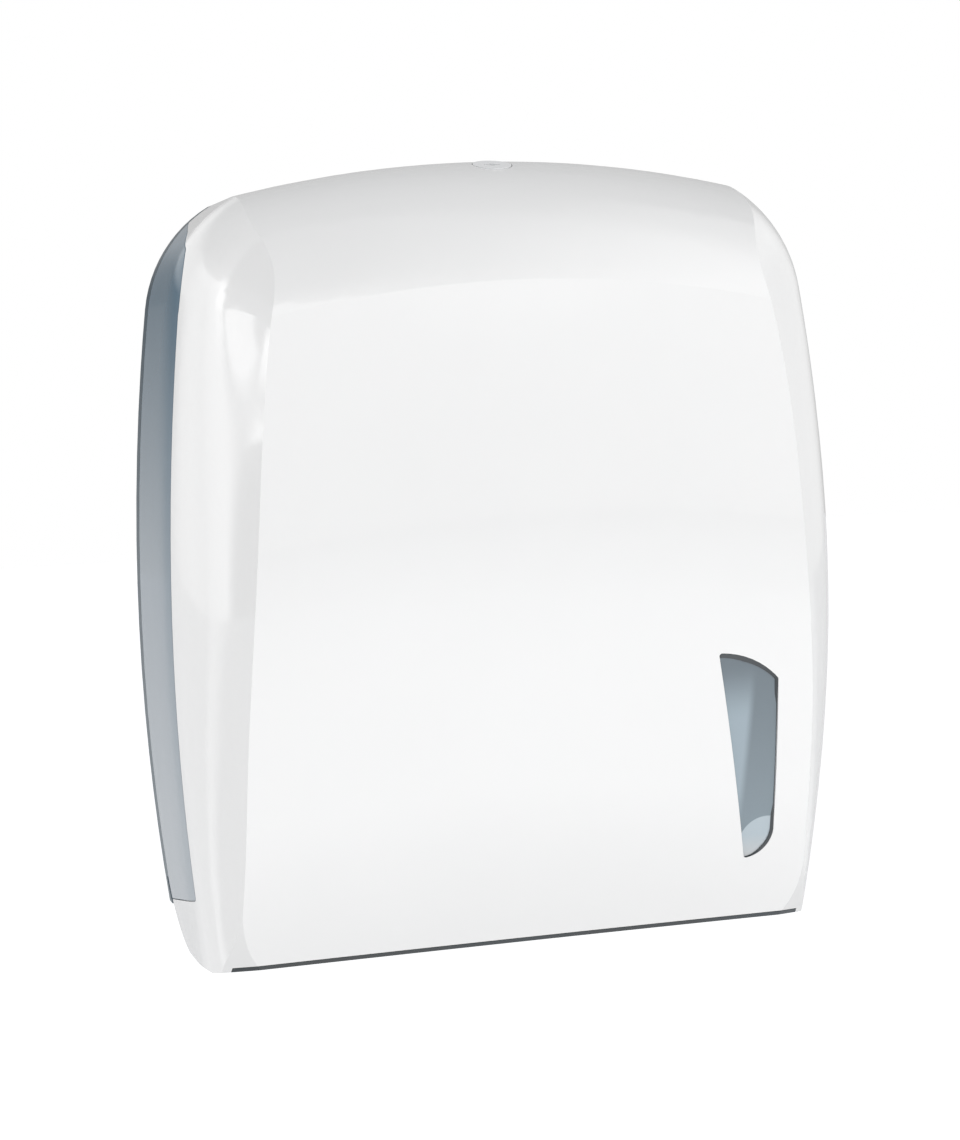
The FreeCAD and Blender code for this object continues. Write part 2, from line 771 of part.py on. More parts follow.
def pilot_holes(places, depth_name):
    """Blind holes into the plate for screws that come from the room side."""
    radius = mm["screw_radius"] + mm["screw_hole_fit"]
    bottom = plate_front.value + mm[depth_name]
    return [
        level_cylinder(radius, x.value, z.value, plate_front.value - mm["overrun"], bottom)
        for x, y, z in places
    ]


def make_ribs():
    """Lattice of low ribs that stiffens the plate behind the towels."""
    half = mm["rib_field_width"] / 2
    low, high = mm["rib_field_bottom"], mm["rib_field_top"]
    start = -mm["plate_thickness"] - mm["rib_height"]
    end = -mm["plate_thickness"] / 2
    wide = mm["rib_thickness"] / 2
    columns, rows = int(mm["rib_columns"]), int(mm["rib_rows"])
    ribs = []
    for column in range(columns):
        x = half * (2 * column / (columns - 1) - 1)
        ribs.append(box_between((x - wide, start, low), (x + wide, end, high)))
    for row in range(rows):
        z = low + (high - low) * row / (rows - 1)
        ribs.append(box_between((-half - wide, start, z - wide), (half + wide, end, z + wide)))
    return ribs


def make_ear(side):
    """Hinge ear that reaches forward from the plate to the hinge pin."""
    root = -mm["plate_thickness"] / 2
    y, z, r = hinge_y.value, hinge_z.value, mm["ear_radius"]
    wire = Part.Wire([
        line((root, mm["ear_root_top"]), (y, z + r)),
        arc((y, z + r), (y - r, z), (y, z - r)),
        line((y, z - r), (root, mm["ear_root_bottom"])),
        line((root, mm["ear_root_bottom"]), (root, mm["ear_root_top"])),
    ])
    x = mm["ear_inner_x"] if side > 0 else -ear_outer_x.value
    wire.Placement = Placement(Vector(x, 0, 0), Rotation(Vector(1, 1, 1), 120))
    ear = Part.Face(wire).extrude(Vector(mm["ear_thickness"], 0, 0))
    bore = Part.makeCylinder(
        mm["pin_radius"] + mm["pin_fit"], mm["ear_thickness"] + 2 * mm["overrun"],
        Vector(x - mm["overrun"], y, z), Vector(1, 0, 0),
    )
    return ear.cut(bore)


def wall_screw_centres():
    across = mm["wall_screw_spacing_x"] / 2
    up = mm["wall_screw_spacing_z"] / 2
    return [(x * across, mm["wall_screw_height"] + z * up) for x in (-1, 1) for z in (-1, 1)]


def make_back_plate():
    """Plate against the wall, with rim, ribs, screw bosses and hinge ears."""
    half = mm["half_width"] + mm["overrun"]
    top = mm["crown_height"] + mm["overrun"]
    low = mm["plate_bottom"]
    beyond = mm["rim_depth"] + mm["overrun"]
    slab = box_between((-half, -mm["rim_depth"], low), (half, 0, top))
    body = case_form(0).common(slab)
    hollow = box_between((-half, -beyond, low + mm["rim_wall"]), (half, plate_front.value, top))
    body = body.cut(case_form(mm["rim_wall"]).common(hollow))
    inner, outer = mm["ear_inner_x"], mm["overrun"]
    tray_bay = box_between((-inner, -beyond, low - outer), (inner, plate_front.value, low + outer))
    body = body.cut(tray_bay)
    heel_radius = mm["hinge_depth"] - mm["rim_depth"] - mm["cover_gap"]
    sweep = Part.makeCylinder(
        heel_radius + mm["plate_corner_gap"], 2 * half,
        Vector(-half, hinge_y.value, hinge_z.value), Vector(1, 0, 0),
    )
    middle = box_between((-inner, -beyond, low - outer), (inner, outer, mm["ear_root_top"]))
    lowest = box_between((-half, -beyond, low - outer), (half, outer, mm["hinge_height"]))
    body = body.cut(sweep.common(lowest).cut(middle))
    boss_depth = mm["plate_thickness"] + mm["rib_height"]
    bosses = [
        level_cylinder(mm["wall_screw_boss_radius"], x, z, -boss_depth, -mm["plate_thickness"] / 2)
        for x, z in wall_screw_centres()
    ]
    body = body.fuse(make_ribs() + bosses + [make_ear(-1), make_ear(1)])
    drills = [
        level_cylinder(mm["wall_screw_hole_radius"], x, z, -boss_depth - mm["overrun"], mm["overrun"])
        for x, z in wall_screw_centres()
    ]
    drills += pilot_holes(tray_screw_places + guide_screw_places + keeper_screw_places, "screw_bite")
    return feature("back_plate", body.cut(drills).removeSplitter())


def make_outer_skin():
    """White outer cover, with its sight window and the rear cut-outs at its sides."""
    body = case_form(0).common(cover_zone(0.0)).cut(case_form(mm["skin_wall"]))
    above_flange = cover_zone(mm["flange_height"] + mm["seam_gap"] / 2)
    foot_edge = side_form(mm["skin_wall"]).cut(above_flange)
    body = body.cut([foot_edge, strip_zone(mm["seam_gap"]), window_prism()])
    hole = lock_cylinder(mm["lock_disc_radius"] + mm["lock_ring_gap"], lock_seat.value, mm["overrun"])
    drills = []
    for x, z in skin_screw_spots:
        face = front_surface_y(x, z, mm["skin_wall"])
        radius = mm["screw_radius"] + mm["screw_hole_fit"]
        drills.append(level_cylinder(radius, x, z, face - mm["skin_screw_bite"], face + mm["skin_wall"]))
    return feature("outer_skin", body.cut([hole] + drills))


def make_lug(side):
    """Boss inside the shell's side that holds the hinge bush."""
    wall_x = lug_bore_end_x.value + mm["skin_gap"]
    start = lug_start_x.value
    direction = Vector(side, 0, 0)
    base = Vector(side * start, hinge_y.value, hinge_z.value)
    return Part.makeCylinder(mm["lug_radius"], wall_x - start, base, direction)


def make_lug_bore(side):
    start = lug_start_x.value - mm["overrun"]
    base = Vector(side * start, hinge_y.value, hinge_z.value)
    reach = lug_bore_end_x.value - start
    return Part.makeCylinder(bush_outer.value + mm["pin_fit"], reach, base, Vector(side, 0, 0))


def make_inner_shell():
    """Tinted shell under the skin: it comes to the surface in the side strips and at the foot."""
    whole = case_form(0).common(cover_zone(0.0))
    under_skin = case_form(shell_outside.value)
    strips = strip_zone(0.0)
    skin_space = whole.common(cover_zone(mm["flange_height"])).cut([under_skin, strips])
    side_space = whole.cut([side_form(shell_outside.value), strips])
    body = whole.cut([case_form(shell_inside.value), skin_space, side_space])
    body = body.fuse([make_lug(side).common(under_skin) for side in (-1, 1)])
    seat = lock_cylinder(mm["lock_disc_radius"] + mm["lock_ring_gap"], lock_seat.value, mm["overrun"])
    sleeve = mm["lock_sleeve_radius"] + mm["lock_sleeve_fit"]
    hole = lock_cylinder(sleeve, lock_seat.value - mm["overrun"], lock_seat.value + mm["skin_gap"])
    drills = [make_lug_bore(-1), make_lug_bore(1)]
    for x, z in skin_screw_spots:
        inside = skin_screw_seat(x, z)
        radius = mm["screw_radius"] + mm["screw_hole_fit"]
        drills.append(level_cylinder(radius, x, z, inside - mm["overrun"], inside + mm["overrun"]))
        drills.append(level_cylinder(spot_radius.value, x, z, inside, inside + mm["overrun"]))
    return feature("inner_shell", body.cut([seat, hole] + drills).removeSplitter())


def make_skin_screws():
    """Short screws from inside that hold the skin to the shell."""
    solids = []
    for x, z in skin_screw_spots:
        seat = skin_screw_seat(x, z)
        bottom = front_surface_y(x, z, mm["skin_wall"]) - mm["skin_screw_bite"] + mm["screw_hole_fit"]
        head = level_cylinder(mm["screw_head_radius"], x, z, seat, seat + mm["screw_head_thickness"])
        shank = level_cylinder(mm["screw_radius"], x, z, bottom, seat)
        solids.append(head.fuse(shank).removeSplitter())
    return feature("skin_screws", Part.makeCompound(solids))


# Pieces made as bodies with sketches

def new_body(label):
    body = doc.addObject("PartDesign::Body", label)
    body.Label = label
    return body


def origin_plane(body, role):
    return [plane for plane in body.Origin.OriginFeatures if plane.Role == role][0]


def new_sketch(body, role, name, lift=None):
    sketch = body.newObject("Sketcher::SketchObject", name)
    sketch.AttachmentSupport = (origin_plane(body, role), [""])
    sketch.MapMode = "FlatFace"
    if lift is not None:
        bind(sketch, "AttachmentOffset.Base.z", lift)
    return sketch


def pin_point(sketch, line_index, point, axis_index, field, length):
    """Ties one coordinate of a corner to the sheet, or to an axis where it is zero."""
    if length is ZERO:
        sketch.addConstraint(Sketcher.Constraint("PointOnObject", line_index, point, axis_index))
        return
    number = sketch.addConstraint(
        Sketcher.Constraint(field, -1, 1, line_index, point, length.value)
    )
    sketch.setExpression("Constraints[%d]" % number, length.text)


def add_polygon(sketch, corners):
    """Closed outline whose corners are all given by named sizes."""
    first = sketch.GeometryCount
    count = len(corners)
    points = [Vector(x.value, y.value, 0) for x, y in corners]
    for index in range(count):
        sketch.addGeometry(Part.LineSegment(points[index], points[(index + 1) % count]), False)
    for index in range(count):
        following = first + (index + 1) % count
        sketch.addConstraint(Sketcher.Constraint("Coincident", first + index, 2, following, 1))
    for index, (x, y) in enumerate(corners):
        pin_point(sketch, first + index, 1, -2, "DistanceX", x)
        pin_point(sketch, first + index, 1, -1, "DistanceY", y)


def add_circle(sketch, x, y, radius):
    index = sketch.addGeometry(
        Part.Circle(Vector(x.value, y.value, 0), Vector(0, 0, 1), radius.value), False
    )
    pin_point(sketch, index, 3, -2, "DistanceX", x)
    pin_point(sketch, index, 3, -1, "DistanceY", y)
    number = sketch.addConstraint(Sketcher.Constraint("Radius", index, radius.value))
    sketch.setExpression("Constraints[%d]" % number, radius.text)


def rectangle(left, bottom, right, top):
    return [(left, bottom), (right, bottom), (right, top), (left, top)]


def pad(body, sketch, length, name, both_ways=False, backwards=False):
    solid = body.newObject("PartDesign::Pad", name)
    solid.Profile = sketch
    solid.Midplane = both_ways
    solid.Reversed = backwards
    bind(solid, "Length", length)
    doc.recompute()
    return solid


def pocket(body, sketch, length, name, both_ways=False, backwards=False):
    """Cuts a pocket and makes sure that it took material away."""
    before = body.Shape.Volume
    cut = body.newObject("PartDesign::Pocket", name)
    cut.Profile = sketch
    cut.Midplane = both_ways
    cut.Reversed = backwards
    bind(cut, "Length", length)
    doc.recompute()
    if not body.Shape.Volume < before:
        raise ValueError("%s cuts nothing" % name)
    return cut


def revolve(body, sketch, name):
    turned = body.newObject("PartDesign::Revolution", name)
    turned.Profile = sketch
    turned.ReferenceAxis = (sketch, ["V_Axis"])
    turned.Angle = 360
    doc.recompute()
    return turned


def fillet(body, base, names, radius, name):
    rounded = body.newObject("PartDesign::Fillet", name)
    rounded.Base = (base, names)
    bind(rounded, "Radius", radius)
    doc.recompute()
    return rounded


def edge_names(shape, wanted):
    return ["Edge%d" % number for number, edge in enumerate(shape.Edges, start=1) if wanted(edge)]


def make_hinge_pin(label, side):
    """Headed steel pin: the head inside the ear, the shank out into the cover's bush."""
    body = new_body(label)
    sketch = new_sketch(body, "XZ_Plane", label + "_profile")
    reach = pin_end_x - size["ear_inner_x"]
    add_polygon(sketch, [
        (ZERO, size["pin_head_thickness"]),
        (size["pin_head_radius"] - size["pin_chamfer"], size["pin_head_thickness"]),
        (size["pin_head_radius"], size["pin_head_thickness"] - size["pin_chamfer"]),
        (size["pin_head_radius"], ZERO),
        (size["pin_radius"], ZERO),
        (size["pin_radius"], size["pin_chamfer"] - reach),
        (size["pin_radius"] - size["pin_chamfer"], -reach),
        (ZERO, -reach),
    ])
    revolve(body, sketch, label + "_turned")
    inner = size["ear_inner_x"] if side > 0 else -size["ear_inner_x"]
    place(body, inner, hinge_y, hinge_z, Rotation(Vector(0, 1, 0), -90 * side))
    return body


def make_hinge_bush(label, side):
    """Flanged bush in the cover's lug, running on the pin."""
    body = new_body(label)
    sketch = new_sketch(body, "XZ_Plane", label + "_profile")
    bore = size["pin_radius"] + size["running_clearance"]
    add_polygon(sketch, [
        (bore, ZERO),
        (size["bush_flange_radius"], ZERO),
        (size["bush_flange_radius"], size["bush_flange_thickness"]),
        (bush_outer, size["bush_flange_thickness"]),
        (bush_outer, size["bush_flange_thickness"] + size["lug_bore_depth"]),
        (bore, size["bush_flange_thickness"] + size["lug_bore_depth"]),
    ])
    revolve(body, sketch, label + "_turned")
    start = bush_start_x if side > 0 else -bush_start_x
    place(body, start, hinge_y, hinge_z, Rotation(Vector(0, 1, 0), 90 * side))
    return body


def make_lock_housing():
    """Flanged sleeve that the lock turns in, clamped through the shell's crown."""
    body = new_body("lock_housing")
    sketch = new_sketch(body, "XZ_Plane", "housing_profile")
    bore = size["lock_spindle_radius"] + size["running_clearance"]
    add_polygon(sketch, [
        (bore, size["lock_flange_thickness"]),
        (size["lock_disc_radius"], size["lock_flange_thickness"]),
        (size["lock_disc_radius"], ZERO),
        (size["lock_sleeve_radius"], ZERO),
        (size["lock_sleeve_radius"], -size["lock_sleeve_length"]),
        (bore, -size["lock_sleeve_length"]),
    ])
    revolve(body, sketch, "housing_turned")
    place_on_lock(body, lock_seat)
    return body


def make_lock_nut():
    """Hexagon nut that pulls the housing down on the shell."""
    body = new_body("lock_nut")
    sketch = new_sketch(body, "XY_Plane", "nut_outline")
    half = size["lock_nut_flat"] / 2
    side_share = as_size(round(math.tan(math.radians(30)), 6))
    point_share = as_size(round(1 / math.cos(math.radians(30)), 6))
    short, far = half * side_share, half * point_share
    add_polygon(sketch, [
        (far, ZERO), (short, half), (-short, half), (-far, ZERO), (-short, -half), (short, -half),
    ])
    pad(body, sketch, size["lock_nut_thickness"], "nut_blank", backwards=True)
    bore = new_sketch(body, "XY_Plane", "nut_bore_outline")
    add_circle(bore, ZERO, ZERO, size["lock_sleeve_radius"] + size["screw_hole_fit"])
    pocket(body, bore, size["lock_nut_thickness"], "nut_bore")
    place_on_lock(body, -(shell_inside + size["lock_nut_gap"]))
    return body


def make_lock_rotor():
    """White lock disc with its keyhole, and the spindle that carries the cam."""
    body = new_body("lock_rotor")
    sketch = new_sketch(body, "XZ_Plane", "rotor_profile")
    thickness = size["lock_disc_thickness"]
    add_polygon(sketch, [
        (ZERO, ZERO),
        (size["lock_disc_radius"], ZERO),
        (size["lock_disc_radius"], -thickness),
        (size["lock_spindle_radius"], -thickness),
        (size["lock_spindle_radius"], -size["lock_spindle_length"]),
        (ZERO, -size["lock_spindle_length"]),
    ])
    revolve(body, sketch, "rotor_turned")
    slot = new_sketch(body, "XY_Plane", "key_slot_outline")
    long, wide = size["lock_key_slot_length"] / 2, size["lock_key_slot_width"] / 2
    add_polygon(slot, rectangle(-long, -wide, long, wide))
    pocket(body, slot, size["lock_key_slot_depth"], "key_slot")
    hole = new_sketch(body, "XY_Plane", "key_hole_outline")
    add_circle(hole, ZERO, ZERO, size["lock_key_pin_radius"] + size["lock_key_slot_width"] / 2)
    pocket(body, hole, size["lock_key_slot_depth"], "key_hole")
    square = new_sketch(body, "XY_Plane", "drive_outline", -size["lock_spindle_length"])
    side = size["lock_square"] / 2
    add_polygon(square, rectangle(-side, -side, side, side))
    pad(body, square, size["cam_thickness"], "cam_drive", backwards=True)
    bore = new_sketch(body, "XY_Plane", "cam_screw_outline", cam_bottom)
    add_circle(bore, ZERO, ZERO, size["cam_screw_radius"] + size["screw_hole_fit"])
    depth = size["cam_screw_length"] + size["screw_hole_fit"]
    pocket(body, bore, depth, "cam_screw_bore", backwards=True)
    place_on_lock(body, ZERO)
    return body


def make_lock_cam():
    """Steel cam with a turned-down hook; at rest it points aside, free of the keeper."""
    body = new_body("lock_cam")
    hub = new_sketch(body, "XY_Plane", "cam_hub_outline")
    add_circle(hub, ZERO, ZERO, size["cam_hub_radius"])
    pad(body, hub, size["cam_thickness"], "cam_hub")
    arm = new_sketch(body, "XY_Plane", "cam_arm_outline")
    add_polygon(arm, rectangle(
        size["cam_hub_radius"] / 2, -size["cam_half_width"], size["cam_reach"], size["cam_half_width"]
    ))
    pad(body, arm, size["cam_thickness"], "cam_arm")
    hook = new_sketch(body, "XY_Plane", "cam_hook_outline")
    add_polygon(hook, rectangle(
        size["cam_hook_inner"], -size["cam_half_width"], size["cam_reach"], size["cam_half_width"]
    ))
    pad(body, hook, size["cam_hook_drop"], "cam_hook", backwards=True)
    drive = new_sketch(body, "XY_Plane", "cam_drive_outline")
    side = size["lock_square"] / 2 + size["cam_fit"]
    add_polygon(drive, rectangle(-side, -side, side, side))
    pocket(body, drive, size["cam_thickness"], "cam_drive_hole", backwards=True)
    place_on_lock(body, cam_bottom)
    return body


def make_cam_washer():
    body = new_body("cam_washer")
    sketch = new_sketch(body, "XY_Plane", "washer_outline")
    add_circle(sketch, ZERO, ZERO, size["washer_radius"])
    add_circle(sketch, ZERO, ZERO, size["cam_screw_radius"] + size["cam_fit"])
    pad(body, sketch, size["washer_thickness"], "washer_blank", backwards=True)
    place_on_lock(body, cam_bottom)
    return body


def make_lock_keeper():
    """Bent steel strike: base on the plate, arm forward, tab turned up behind the cam's hook."""
    body = new_body("lock_keeper")
    sketch = new_sketch(body, "YZ_Plane", "keeper_bend")
    steel = size["keeper_thickness"]
    tab_rear = keeper_tab_y
    tab_front = keeper_tab_y - steel
    add_polygon(sketch, [
        (plate_front, keeper_base_bottom),
        (plate_front, keeper_arm_top),
        (tab_rear, keeper_arm_top),
        (tab_rear, keeper_top),
        (tab_front, keeper_top),
        (tab_front, keeper_arm_top - steel),
        (plate_front - steel, keeper_arm_top - steel),
        (plate_front - steel, keeper_base_bottom),
    ])
    blank = pad(body, sketch, size["keeper_half_width"] * 2, "keeper_blank", both_ways=True)
    across = edge_names(blank.Shape, lambda edge: runs_along(edge, Vector(1, 0, 0)))
    fillet(body, blank, across, size["keeper_bend_radius"], "keeper_bends")
    holes = new_sketch(body, "XZ_Plane", "keeper_hole_outline", -plate_front)
    for x, y, z in keeper_screw_places:
        add_circle(holes, x, z, size["screw_radius"] + size["screw_hole_fit"])
    reach = size["keeper_thickness"] + size["skin_gap"]
    pocket(body, holes, reach * 2, "keeper_holes", both_ways=True)
    place(body)
    return body


def make_stack_guide(label, side):
    """Side plate that keeps the towel stack square, with a flange on the back plate."""
    body = new_body(label)
    outline = new_sketch(body, "YZ_Plane", label + "_outline", size["guide_outer_x"])
    foot = tray_top + size["guide_foot_gap"]
    add_polygon(outline, [
        (tray_back, foot),
        (-size["guide_foot_depth"], foot),
        (-size["guide_foot_depth"], size["guide_knee_low"]),
        (-size["guide_depth"], size["guide_knee_high"]),
        (-size["guide_depth"], size["guide_shoulder"]),
        (-size["guide_shoulder_depth"], size["guide_top"]),
        (tray_back, size["guide_top"]),
    ])
    pad(body, outline, size["guide_wall"], label + "_plate", backwards=True)
    flange = new_sketch(body, "YZ_Plane", label + "_flange_outline", size["guide_outer_x"])
    add_polygon(flange, rectangle(
        guide_front_face, size["guide_flange_bottom"], tray_back, size["guide_top"]
    ))
    width = size["guide_wall"] + size["guide_flange_width"]
    pad(body, flange, width, label + "_flange", backwards=True)
    for number in range(int(mm["guide_lightening_count"])):
        low = size["guide_lightening_start"] + size["guide_lightening_pitch"] * number
        near = -size["guide_lightening_depth"]
        far = near - size["guide_lightening_width"]
        window = new_sketch(
            body, "YZ_Plane", "%s_opening_outline_%d" % (label, number), size["guide_outer_x"]
        )
        high = low + size["guide_lightening_height"]
        add_polygon(window, rectangle(far, low, near, high))
        pocket(body, window, size["guide_wall"], "%s_opening_%d" % (label, number))
    holes = new_sketch(body, "XZ_Plane", label + "_hole_outline", -guide_front_face)
    for row in range(int(mm["guide_screw_rows"])):
        height = size["guide_screw_low"] + size["guide_screw_pitch"] * row
        add_circle(holes, guide_screw_x, height, size["screw_radius"] + size["screw_hole_fit"])
    reach = size["guide_flange_thickness"] * 2 + size["skin_gap"]
    pocket(body, holes, reach, label + "_holes", both_ways=True)
    place(body)
    return body


def make_towel_tray():
    """Floor under the towel stack: low sides, front wall with a thumb notch, back flange."""
    body = new_body("towel_tray")
    floor = new_sketch(body, "XY_Plane", "tray_floor_outline", size["tray_height"])
    half = size["tray_half_width"]
    nose = half - size["tray_corner_x"]
    shoulder = size["tray_corner_y"] - size["tray_depth"]
    front = -size["tray_depth"]
    add_polygon(floor, [
        (-half, tray_back), (-half, shoulder), (-nose, front),
        (nose, front), (half, shoulder), (half, tray_back),
    ])
    pad(body, floor, size["tray_floor"], "tray_floor")
    wall = size["tray_wall"]
    front_wall = new_sketch(body, "XY_Plane", "tray_front_outline", size["tray_height"])
    add_polygon(front_wall, rectangle(-nose, front, nose, front + wall))
    pad(body, front_wall, size["tray_front_height"], "tray_front")
    for name, low, high in (("left", -half, wall - half), ("right", half - wall, half)):
        side_wall = new_sketch(body, "XY_Plane", "tray_%s_outline" % name, size["tray_height"])
        add_polygon(side_wall, rectangle(low, shoulder, high, tray_back))
        pad(body, side_wall, size["tray_side_height"], "tray_%s" % name)
    flange = new_sketch(body, "XY_Plane", "tray_flange_outline", size["tray_height"])
    flange_half = size["tray_flange_half_width"]
    add_polygon(flange, rectangle(-flange_half, tray_back - wall, flange_half, tray_back))
    pad(body, flange, size["tray_flange_height"], "tray_flange")
    slot = new_sketch(body, "XY_Plane", "tray_slot_outline", tray_top)
    slot_x = size["slot_half_width"] + size["lip_wall"] + size["lip_fit"]
    slot_y = size["slot_depth"] / 2 + size["lip_wall"] + size["lip_fit"]
    centre = -size["slot_centre_depth"]
    add_polygon(slot, rectangle(-slot_x, centre - slot_y, slot_x, centre + slot_y))
    pocket(body, slot, size["tray_floor"], "tray_slot")
    notch = new_sketch(body, "XZ_Plane", "tray_notch_outline", -front)
    rim = size["tray_height"] + size["tray_front_height"]
    notch_half = size["tray_notch_half_width"]
    add_polygon(notch, rectangle(
        -notch_half, rim - size["tray_notch_depth"], notch_half, rim + wall
    ))
    cut = pocket(body, notch, wall * 2 + size["skin_gap"], "tray_notch", both_ways=True)
    notch_low = rim.value - mm["tray_notch_depth"]
    corners = edge_names(cut.Shape, lambda edge: (
        runs_along(edge, Vector(0, 1, 0))
        and all(abs(v.Z - notch_low) < mm["skin_gap"] for v in edge.Vertexes)
    ))
    fillet(body, cut, corners, size["tray_notch_radius"], "tray_notch_corners")
    holes = new_sketch(body, "XZ_Plane", "tray_hole_outline", -(tray_back - wall))
    for x, y, z in tray_screw_places:
        add_circle(holes, x, z, size["screw_radius"] + size["screw_hole_fit"])
    pocket(body, holes, wall * 2 + size["skin_gap"], "tray_holes", both_ways=True)
    place(body)
    return body


def make_outlet_lip():
    """Smooth ring set in the tray's slot, over which each towel is drawn out."""
    body = new_body("outlet_lip")
    centre = -size["slot_centre_depth"]
    half_x, half_y = size["slot_half_width"], size["slot_depth"] / 2

    def ring(name, grow, lift):
        sketch = new_sketch(body, "XY_Plane", name, lift)
        x, y = half_x + grow, half_y + grow
        add_polygon(sketch, rectangle(-x, centre - y, x, centre + y))
        return sketch

    collar = ring("lip_collar_outline", size["lip_wall"], tray_top)
    drop = size["tray_floor"] + size["lip_drop"]
    pad(body, collar, drop, "lip_collar", backwards=True)
    brim = ring("lip_flange_outline", size["lip_wall"] + size["lip_flange"], tray_top)
    pad(body, brim, size["lip_flange_thickness"], "lip_flange")
    top = tray_top + size["lip_flange_thickness"]
    throat = ring("lip_throat_outline", ZERO, top)
    cut = pocket(body, throat, drop + size["lip_flange_thickness"], "lip_throat")
    upright = edge_names(cut.Shape, lambda edge: runs_along(edge, Vector(0, 0, 1)))
    corners = fillet(body, cut, upright, size["lip_rounding"], "lip_corners")
    bottom = tray_top.value - drop.value
    mouth = edge_names(corners.Shape, lambda edge: (
        all(abs(v.Z - bottom) < mm["lip_fit"] for v in edge.Vertexes)
    ))
    fillet(body, corners, mouth, size["lip_rounding"], "lip_mouth")
    place(body)
    return body


def make_cam_screw():
    thing = screw("cam_screw", size["cam_screw_radius"], size["cam_screw_length"])
    thing.Label = "cam_screw"
    place_on_lock(thing, cam_bottom - size["washer_thickness"], FACING_DOWN)
    return thing


pieces = [
    make_back_plate(),
    make_towel_tray(),
    make_outlet_lip(),
    make_stack_guide("stack_guide_right", 1),
    make_lock_keeper(),
    make_hinge_pin("hinge_pin_left", -1),
    make_hinge_pin("hinge_pin_right", 1),
    make_hinge_bush("hinge_bush_left", -1),
    make_hinge_bush("hinge_bush_right", 1),
    make_outer_skin(),
    make_inner_shell(),
    make_skin_screws(),
    make_lock_housing(),
    make_lock_nut(),
    make_lock_rotor(),
    make_lock_cam(),
    make_cam_washer(),
    make_cam_screw(),
    screw_group("tray_screws", tray_screw_places, size["screw_radius"],
                size["tray_wall"] + size["screw_bite"], FACING_ROOM),
    screw_group("guide_screws", guide_screw_places, size["screw_radius"],
                size["guide_flange_thickness"] + size["screw_bite"], FACING_ROOM),
    screw_group("keeper_screws", keeper_screw_places, size["screw_radius"],
                size["keeper_thickness"] + size["screw_bite"], FACING_ROOM),
]


def make_left_guide(right):
    """The left guide is the right one's mirror image."""
    mirror = doc.addObject("Part::Mirroring", "stack_guide_left")
    mirror.Label = "stack_guide_left"
    mirror.Source = right
    mirror.Base = Vector(0, 0, 0)
    mirror.Normal = Vector(1, 0, 0)
    return mirror


pieces.append(make_left_guide(pieces[3]))
doc.recompute()

failed = [
    thing.Name for thing in doc.Objects
    if "Invalid" in thing.State or "Error" in thing.State
]
for piece in pieces:
    if piece.Shape.isNull() or not piece.Shape.isValid():
        failed.append(piece.Label)
if failed:
    raise ValueError("these failed: %s" % ", ".join(failed))

os.makedirs("parts", exist_ok=True)
for piece in pieces:
    piece.Shape.exportStep("parts/%s.step" % piece.Label)
    box = piece.Shape.BoundBox
    print("%-18s solids %2d volume %9.0f  x %6.1f %6.1f  y %6.1f %6.1f  z %6.1f %6.1f" % (
        piece.Label, len(piece.Shape.Solids), piece.Shape.Volume,
        box.XMin, box.XMax, box.YMin, box.YMax, box.ZMin, box.ZMax,
    ))
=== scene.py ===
import json
import math

import bmesh
import bpy
import numpy as np
from mathutils import Matrix, Vector


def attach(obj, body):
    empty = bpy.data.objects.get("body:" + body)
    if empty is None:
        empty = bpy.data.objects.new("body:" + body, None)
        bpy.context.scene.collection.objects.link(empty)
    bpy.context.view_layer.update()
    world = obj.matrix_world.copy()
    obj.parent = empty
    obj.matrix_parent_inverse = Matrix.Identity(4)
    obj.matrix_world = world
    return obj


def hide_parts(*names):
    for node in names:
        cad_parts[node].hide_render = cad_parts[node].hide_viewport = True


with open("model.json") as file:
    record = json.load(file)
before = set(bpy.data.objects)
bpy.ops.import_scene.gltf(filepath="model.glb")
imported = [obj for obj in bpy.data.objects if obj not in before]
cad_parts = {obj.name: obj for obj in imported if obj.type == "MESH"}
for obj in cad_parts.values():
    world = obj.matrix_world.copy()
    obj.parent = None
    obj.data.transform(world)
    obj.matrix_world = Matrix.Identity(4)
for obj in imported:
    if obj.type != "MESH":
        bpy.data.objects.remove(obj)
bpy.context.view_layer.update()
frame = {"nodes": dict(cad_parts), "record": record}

# Case in millimetres: heights from its bottom edge, depths from the wall at y = 0.
DEPTH, BELLY_Z, BELLY_R = 113.8, 193.8, 536.0
CROWN_R, PLAN_R = 491.0, 6794.0
MOUNT_Z, COVER_WALL = 180.0, 4.9
# Sight window's two rounded corners on its right, as points (x, z) on their arcs.
WINDOW_TOP = ((78.5, 125.2), (92.0, 122.4), (105.7, 112.7))
WINDOW_LOW = ((108.1, 45.0), (104.8, 36.8), (95.9, 32.5))
ARC_POINTS, SIDE_POINTS, LEVELS, SHEET_COLUMNS = 40, 38, 90, 16
# Pane: inset from the opening and depth under the skin, of its back, its step and its face.
PANE_BACK, PANE_STEP, PANE_FACE = (0.12, 2.6), (0.12, 1.35), (0.5, 1.0)
# Dark edge, partly painted shadow under the opening's top and partly the opening's tinted right wall:
# its width along the way from the low corner to the top one, and its depths.
EDGE_PLACES = (0, 0.25, 0.5, 0.55, 0.8, 1)
EDGE_WIDTHS = (0.1, 1.3, 1.25, 1.3, 2.2, 2.0)
EDGE_INSET, EDGE_OUTER, EDGE_INNER, EDGE_BACK = 0.06, 0.25, 0.6, 1.4
# Screws: head, dome, cross recess as shares of the head, thread and tip.
HEAD_R, HEAD_H, SHANK_R, CAM_SHANK_R = 3.1, 1.5, 1.5, 2.0
DOME_DROP, RIM_SHARE = 0.28, 0.5
RECESS_WIDTH, RECESS_REACH, RECESS_DEPTH = 0.11, 0.6, 0.5
THREAD_PITCH, THREAD_STEP, ROOT_SHARE = 0.6, 0.25, 0.82
TIP_SHARE, TIP_LENGTH = 0.8, 0.4
SCREW_COLUMNS = 48
SPOT_R = 3.5
WELD, CREASE = 1e-6, math.radians(40)


